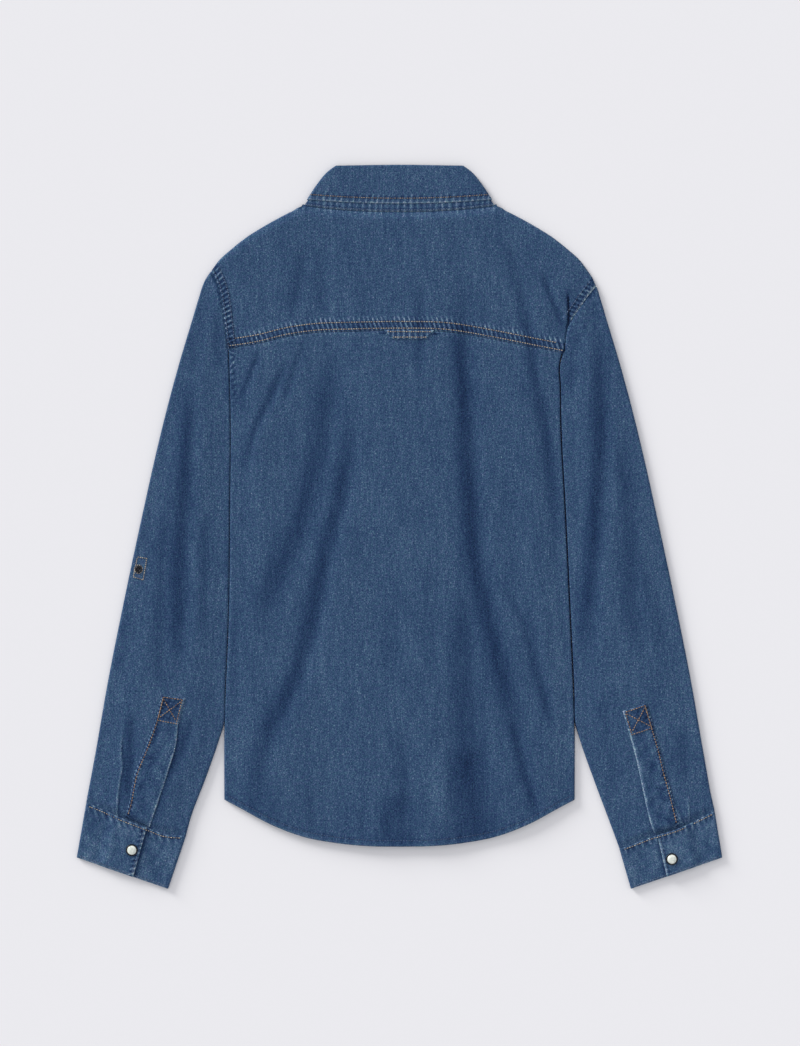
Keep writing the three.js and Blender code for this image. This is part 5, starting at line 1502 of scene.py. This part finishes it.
# %% How stitches are made
PITCH_SEWN = 2.65
STITCH = (1.12, 0.50, 0.40)  # half length, half width, half height
STITCH_RAISE = 0.08


def along_line(line, pitch):
    """Evenly spaced spots on a polyline, and its direction at each"""
    line = np.array(line, float)
    length = np.concatenate([[0], np.cumsum(length_of(np.diff(line, axis=0)))])
    at = np.arange(pitch / 2, length[-1], pitch)
    behind, spots, ahead = (points(*(np.interp(at + shift, length, line[:, i]) for i in range(2)))
                            for shift in (-0.5, 0, 0.5))
    return spots, unit(ahead - behind)


def stitches(name, rows, colour, height, up=1, pitch=PITCH_SEWN, thick=1.0):
    """One mesh of all the stitches along some rows; height(x, y) is the cloth's outer surface"""
    bm = bmesh.new()
    size = Matrix.Diagonal((STITCH[0] * pitch / PITCH_SEWN, STITCH[1] * thick, STITCH[2] * thick, 1))
    for row in rows:
        spots, way = along_line(row, pitch)
        levels = height(spots[:, 0], spots[:, 1]) + up * STITCH_RAISE
        for (x, y), (dx, dy), z in zip(spots, way, levels):
            turn = Matrix(((dx, -dy, 0, x), (dy, dx, 0, y), (0, 0, 1, z), (0, 0, 0, 1)))
            bmesh.ops.create_uvsphere(bm, u_segments=6, v_segments=4, radius=1,
                                      matrix=Matrix.Scale(MM, 4) @ turn @ size)
    mesh = mesh_from(name, bm)
    mesh.materials.append(threads[colour])
    return add_piece(name, mesh, "denim")


print("stitches on a 100 mm row:", len(along_line([(0, 0), (100, 0)], PITCH_SEWN)[0]))

# %% [markdown]
# ## Rows on the yoke, the armholes and the collar
# Each row of stitches is a line that lies beside a seam at a fixed distance, so we offset the seam's
# own line and ask the cloth for its height there. On puckered seams the beads rise and fall with
# the ribs.

# %% Rows on yoke, armholes and collar
def yoke_line(offset, ends=2.5):
    x = np.linspace(float(armhole_at["left"](180)) + ends, float(armhole_at["right"](180)) - ends, 120)
    return points(x, yoke_seam(x) + offset)


def yoke_surface(x, y):
    return back_height(x, y) + yoke_pucker(x, y)[0] + armhole_pucker(x, y)[0]


def armhole_line(side, offset):
    """A row beside the armhole, as far down as the felled seam shows"""
    way = unit(np.gradient(ARM_LINES[side], axis=0))
    line = ARM_LINES[side] - SIGN[side] * offset * points(-way[:, 1], way[:, 0])
    return line[line[:, 1] > ARM_END[side][1]]


def neck_line(offset):
    x = np.linspace(-94, 94, 80)
    return points(x, neck_seam(x) + offset)


def leaf_line(offset):
    u = np.linspace(0.02, 0.98, 90)
    return leaf_plan(u, 0 * u) + np.array([0, offset])


yoke_stitches = stitches("stitches_yoke", [yoke_line(YOKE_ROWS[0]), yoke_line(YOKE_ROWS[1], 8)], "tan",
                         yoke_surface, pitch=2.5, thick=1.3)
arm_stitches = stitches("stitches_armholes", [armhole_line(side, at) for side in SIGN for at in ARM_ROWS],
                        "blue grey", yoke_surface)
neck_stitches = stitches("stitches_neck", [neck_line(1.8)], "blue grey",
                         lambda x, y: 0 * x + STAND_TOP + 0.3)
leaf_stitches = stitches("stitches_collar", [leaf_line(5.2)], "brown",
                         lambda x, y: 0 * x + 2 * LEAF_LEVEL + 0.12, pitch=2.4, thick=1.3)

# %% [markdown]
# ## Rows on the cuffs and plackets
# The cuff has a bold row along its seam and quiet ones along its hem and its lapped end. A placket
# has a row on its sewn edge and a crossed box at its top, which takes the strain of the slit. Both
# are drawn in shares of the panel's own width and length, so they turn with it.

# %% Rows on cuffs and plackets
def cuff_row(side, v):
    u = np.linspace(0.03, 0.97, 60)
    return cuff_plan[side](u, 0 * u + v)


def cuff_lap_row(side, u):
    v = np.linspace(0.06, 0.94, 30)
    return cuff_plan[side](0 * v + u, v)


def cuff_surface(side):
    hem, seam = curve(CUFF_HEM[side]), curve(CUFF_SEAM[side])
    start, end = (hem(0.0) + seam(0.0)) / 2, (hem(1.0) + seam(1.0)) / 2
    way = (end - start) / np.linalg.norm(end - start) ** 2

    def height(x, y):
        share = (x - start[0]) * way[0] + (y - start[1]) * way[1]
        return np.where(share > CUFF_LAP_END[side], CUFF_LOW, cuff_climb(share)) + 0.1
    return height


def placket_rows(side):
    a, b = strip_edges[side]

    def row(*shares):
        """A line through places on the strip, given as (u, v)"""
        u, v = np.array(shares, float).T
        return lerp(a(v), b(v), u)

    sewn = 0.09 if side == "left" else 0.91
    return [row(*((sewn, v) for v in np.linspace(0.03, 0.985, 70))),
            row((0.09, 0.985), (0.91, 0.985), (0.91, 0.80), (0.09, 0.80), (0.09, 0.985)),
            row((0.12, 0.97), (0.88, 0.82)), row((0.88, 0.97), (0.12, 0.82))]


def strip_surface(side):
    return lambda x, y: sleeve_height(side, x, y) + STRIP_RAISE + 0.02


cuff_stitches = {side: stitches(f"stitches_cuff_{side}", [cuff_row(side, 0.955)], "tan", cuff_surface(side),
                                thick=1.2) for side in SIGN}
cuff_edge_stitches = {
    side: stitches(f"stitches_cuff_edge_{side}",
                   [cuff_row(side, 0.045), cuff_lap_row(side, CUFF_LAP_END[side] - 0.022)],
                   "blue grey", cuff_surface(side)) for side in SIGN}
placket_stitches = {side: stitches(f"stitches_placket_{side}", placket_rows(side), "copper",
                                   strip_surface(side), thick=1.2) for side in SIGN}

# %% [markdown]
# ## Rows on the loop, the tab's box, the hem and the fronts
# The loop is held by two rows. A small box with a ring of stitches holds the stud of the roll-up tab
# inside the sleeve. The hem is turned and sewn in navy, which hardly shows. The rows on the fronts
# lie underneath, so their beads are raised into the cloth to stay off the table.

# %% Rows on loop, tab, hem and fronts
TAB_BOX = [(-262.1, -30.2), (-252.7, -31.8), (-256.3, -53.2), (-266.1, -50.2), (-262.1, -30.2)]
STUD_AT = (-261.0, -42.5)
FRONT_ROWS = (14.0, -11.0)


def loop_row(v):
    u = np.linspace(0.04, 0.96, 30)
    return points(*loop_spot(u, 0 * u + v))


def stud_ring():
    turn = np.linspace(0, 2 * np.pi, 25)
    return points(STUD_AT[0] + 4.0 * np.cos(turn), STUD_AT[1] + 4.2 * np.sin(turn))


def hem_row(low, high):
    x = np.linspace(low, high, 90)
    return points(x, hem_height(x) + HEM_TURN)


def front_row(x):
    return points(x, np.linspace(hem_height(x) + 2, neckline(x) - 3, 120))


def under_surface(x, y):
    return front_rise(x, y) + 0.45


loop_stitches = stitches("stitches_loop", [loop_row(0.18), loop_row(0.80)], "tan",
                         lambda x, y: back_height(x, y) + 1.0, pitch=2.3, thick=1.3)
tab_stitches = stitches("stitches_tab", [TAB_BOX, stud_ring()], "tan",
                        lambda x, y: sleeve_height("left", x, y), pitch=2.1, thick=1.35)
hem_stitches = stitches("stitches_hem", [hem_row(-171, 171)], "navy", lambda x, y: back_height(x, y) + 0.1)
under_hem = stitches("stitches_hem_under", [hem_row(-160, 15)], "blue grey", under_surface, up=-1)
front_stitches = stitches("stitches_front", [front_row(x) for x in FRONT_ROWS], "tan", under_surface, up=-1)

# %% [markdown]
# ## Materials of the snaps
# The ring is pressed from brass and plated dark, so it is nearly black, glossy on its rounded rim and
# dull in its scratches. The cap is cast from polyester resin with a pearl pigment, pale and cloudy
# under a polished face. One noise drives both the colour and the gloss of the metal.

# %% Materials of the snaps
def ring_metal():
    """Pressed brass, dark plated: nearly black, glossy on its rounded rim, dull in its scratches"""
    material, tree = surface("dark plated brass")
    spot = node(tree, "ShaderNodeTexCoord").outputs["Object"]
    noise = node(tree, "ShaderNodeTexNoise", {"Vector": spot, "Scale": 900.0, "Detail": 3.0})
    colour = node(tree, "ShaderNodeMix", {
        "Factor": noise.outputs["Fac"], 6: linear("#1C1D21"), 7: linear("#3C3E44")}, data_type="RGBA")
    rough = node(tree, "ShaderNodeMapRange", {"Value": noise.outputs["Fac"], "To Min": 0.25, "To Max": 0.5})
    shader = node(tree, "ShaderNodeBsdfPrincipled", {
        "Base Color": colour.outputs[2], "Metallic": 0.9, "Roughness": rough.outputs[0]})
    node(tree, "ShaderNodeOutputMaterial", {"Surface": shader.outputs[0]})
    return material


def pearl_resin():
    """Cast polyester resin with pearl pigment: pale, cloudy, with a glossy polished face"""
    material, tree = surface("cast pearl resin")
    spot = node(tree, "ShaderNodeTexCoord").outputs["Object"]
    swirl = node(tree, "ShaderNodeTexNoise", {
        "Vector": spot, "Scale": 330.0, "Detail": 2.0, "Distortion": 1.2})
    colour = node(tree, "ShaderNodeValToRGB", {"Fac": swirl.outputs["Fac"]})
    for stop, (at, tone) in zip(colour.color_ramp.elements, [(0.3, "#B9C2BA"), (0.72, "#EDEFE6")]):
        stop.position, stop.color = at, linear(tone)
    shader = node(tree, "ShaderNodeBsdfPrincipled", {
        "Base Color": colour.outputs["Color"], "Roughness": 0.16, "IOR": 1.55, "Coat Weight": 0.5,
        "Coat Roughness": 0.06})
    node(tree, "ShaderNodeOutputMaterial", {"Surface": shader.outputs[0]})
    return material


hardware = {"snap_metal": ring_metal(), "pearl": pearl_resin()}
print("hardware:", *hardware)

# %% [markdown]
# ## Snaps and stud
# A pearl snap is a dark ring that is pressed round a domed cap, and the stud of the tab is a small
# hollow cup. All are round, so we draw half of their outline, corner by corner and arc by arc, and
# spin it about an upright axis. On the fronts the caps lie face down, under the cloth.

# %% Snaps and stud
SPIN_STEPS = 40


def arc(r0, h0, r1, h1, count=5):
    """A quarter round from (r0, h0) to (r1, h1), steep first"""
    turn = np.linspace(0, np.pi / 2, count)
    return [(r0 + (r1 - r0) * (1 - np.cos(t)), h0 + (h1 - h0) * np.sin(t)) for t in turn]


RING = [(4.7, 0), (6.0, 0)] + arc(6.0, 0.35, 5.45, 1.1) + arc(4.95, 1.1, 4.7, 0.8, 3) + [(4.7, 0)]
CAP = [(0, 0), (4.6, 0)] + arc(4.6, 0.5, 3.9, 1.35, 4) + [(2.9, 1.75), (1.6, 1.95), (0, 2.0)]
STUD = [(0, 0), (3.5, 0), (3.5, 0.4)] + arc(3.4, 0.5, 2.9, 1.5, 3)
STUD += [(2.3, 1.6), (1.9, 1.3), (1.8, 0.35), (0, 0.3)]
FRONT_CAP = [(0, 1.0), (5.8, 1.0), (6.0, 0.75), (6.0, 0.45)] + arc(5.9, 0.35, 4.8, 0.05, 4)
FRONT_CAP += [(2.5, 0), (0, 0)]


def turned(name, replaced, outline, spot, slot):
    """Spins an outline of (radius, height) round an upright axis at a spot"""
    bm = bmesh.new()
    corners = [bm.verts.new((r * MM, 0, h * MM)) for r, h in outline]
    edges = [bm.edges.new(pair) for pair in zip(corners[:-1], corners[1:])]
    bmesh.ops.spin(bm, geom=corners + edges, cent=(0, 0, 0), axis=(0, 0, 1), angle=2 * np.pi,
                   steps=SPIN_STEPS, use_merge=True)
    bmesh.ops.remove_doubles(bm, verts=bm.verts, dist=1e-6)
    bmesh.ops.translate(bm, verts=bm.verts, vec=Vector(spot) * MM)
    bmesh.ops.recalc_face_normals(bm, faces=bm.faces)
    mesh = mesh_from(name, bm)
    mesh.materials.append(hardware[slot])
    return add_piece(name, mesh, slot, replaced)


for side in SIGN:
    snap_at = (*CUFF_SNAP[side], CUFF_HIGH + 0.05)
    turned(f"snap_ring_{side}", f"cuff_snap_ring_{side}", RING, snap_at, "snap_metal")
    turned(f"snap_pearl_{side}", f"cuff_snap_pearl_{side}", CAP, snap_at, "pearl")
stud_z = float(sleeve_height("left", *np.array(STUD_AT)[:, None])[0])
stud = turned("tab_stud_snap", "tab_stud", STUD, (*STUD_AT, stud_z), "snap_metal")
for i, y in enumerate([290] + FRONT_SNAP_Y):
    turned(f"front_cap_{i + 1}", f"front_snap_{i + 1}", FRONT_CAP, (0, y, 0), "pearl")

# %% [markdown]
# ## What each panel was cut to
# Every panel is a sheet of cloth, and two tables list what each one lies on and what is sewn on it.
# The cut map holds the flat panel in metres, so its spread is the cut's width and length, and half the
# cross product of each square's diagonals, added up, is its area. We print both for each panel.

# %% Sheets
LEAST_SIDE = 0.0102  # the least side that can be stated; the loop shows a little less
rests = {back_body: fronts.values(), back_yoke: [back_body], fronts["right"]: [fronts["left"]],
         collar_leaf: [collar_stand, back_yoke], collar_stand: [back_yoke], locker_loop: [back_body],
         **{plackets[side]: [sleeves[side]] for side in SIGN}}
sewn_on = {back_body: [hem_stitches], back_yoke: [yoke_stitches, arm_stitches], collar_leaf: [leaf_stitches],
           collar_stand: [neck_stitches], locker_loop: [loop_stitches],
           fronts["left"]: [under_hem, front_stitches], sleeves["left"]: [tab_stitches, stud],
           **{cuffs[side]: [cuff_stitches[side], cuff_edge_stitches[side]] for side in SIGN},
           **{plackets[side]: [placket_stitches[side]] for side in SIGN}}


def cut_of(panel):
    """Size of a panel's cut map, and its area, in metres"""
    mesh = panel.data
    uv = np.empty(len(mesh.loops) * 2)
    mesh.uv_layers["cut"].data.foreach_get("uv", uv)
    uv = uv.reshape(-1, 4, 2)
    a, b = uv[:, 2] - uv[:, 0], uv[:, 3] - uv[:, 1]
    area = np.abs(a[:, 0] * b[:, 1] - a[:, 1] * b[:, 0]).sum() / 2
    return np.ptp(uv.reshape(-1, 2), axis=0), area


for panel in panels:
    (wide, long), area = cut_of(panel)
    print(f"{panel.name}: cut {wide:.3f} x {long:.3f}, area {area:.4f}")
    long = max(long, LEAST_SIDE)
    [other.name for other in rests.get(panel, [])]
    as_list(sewn_on.get(panel, []))
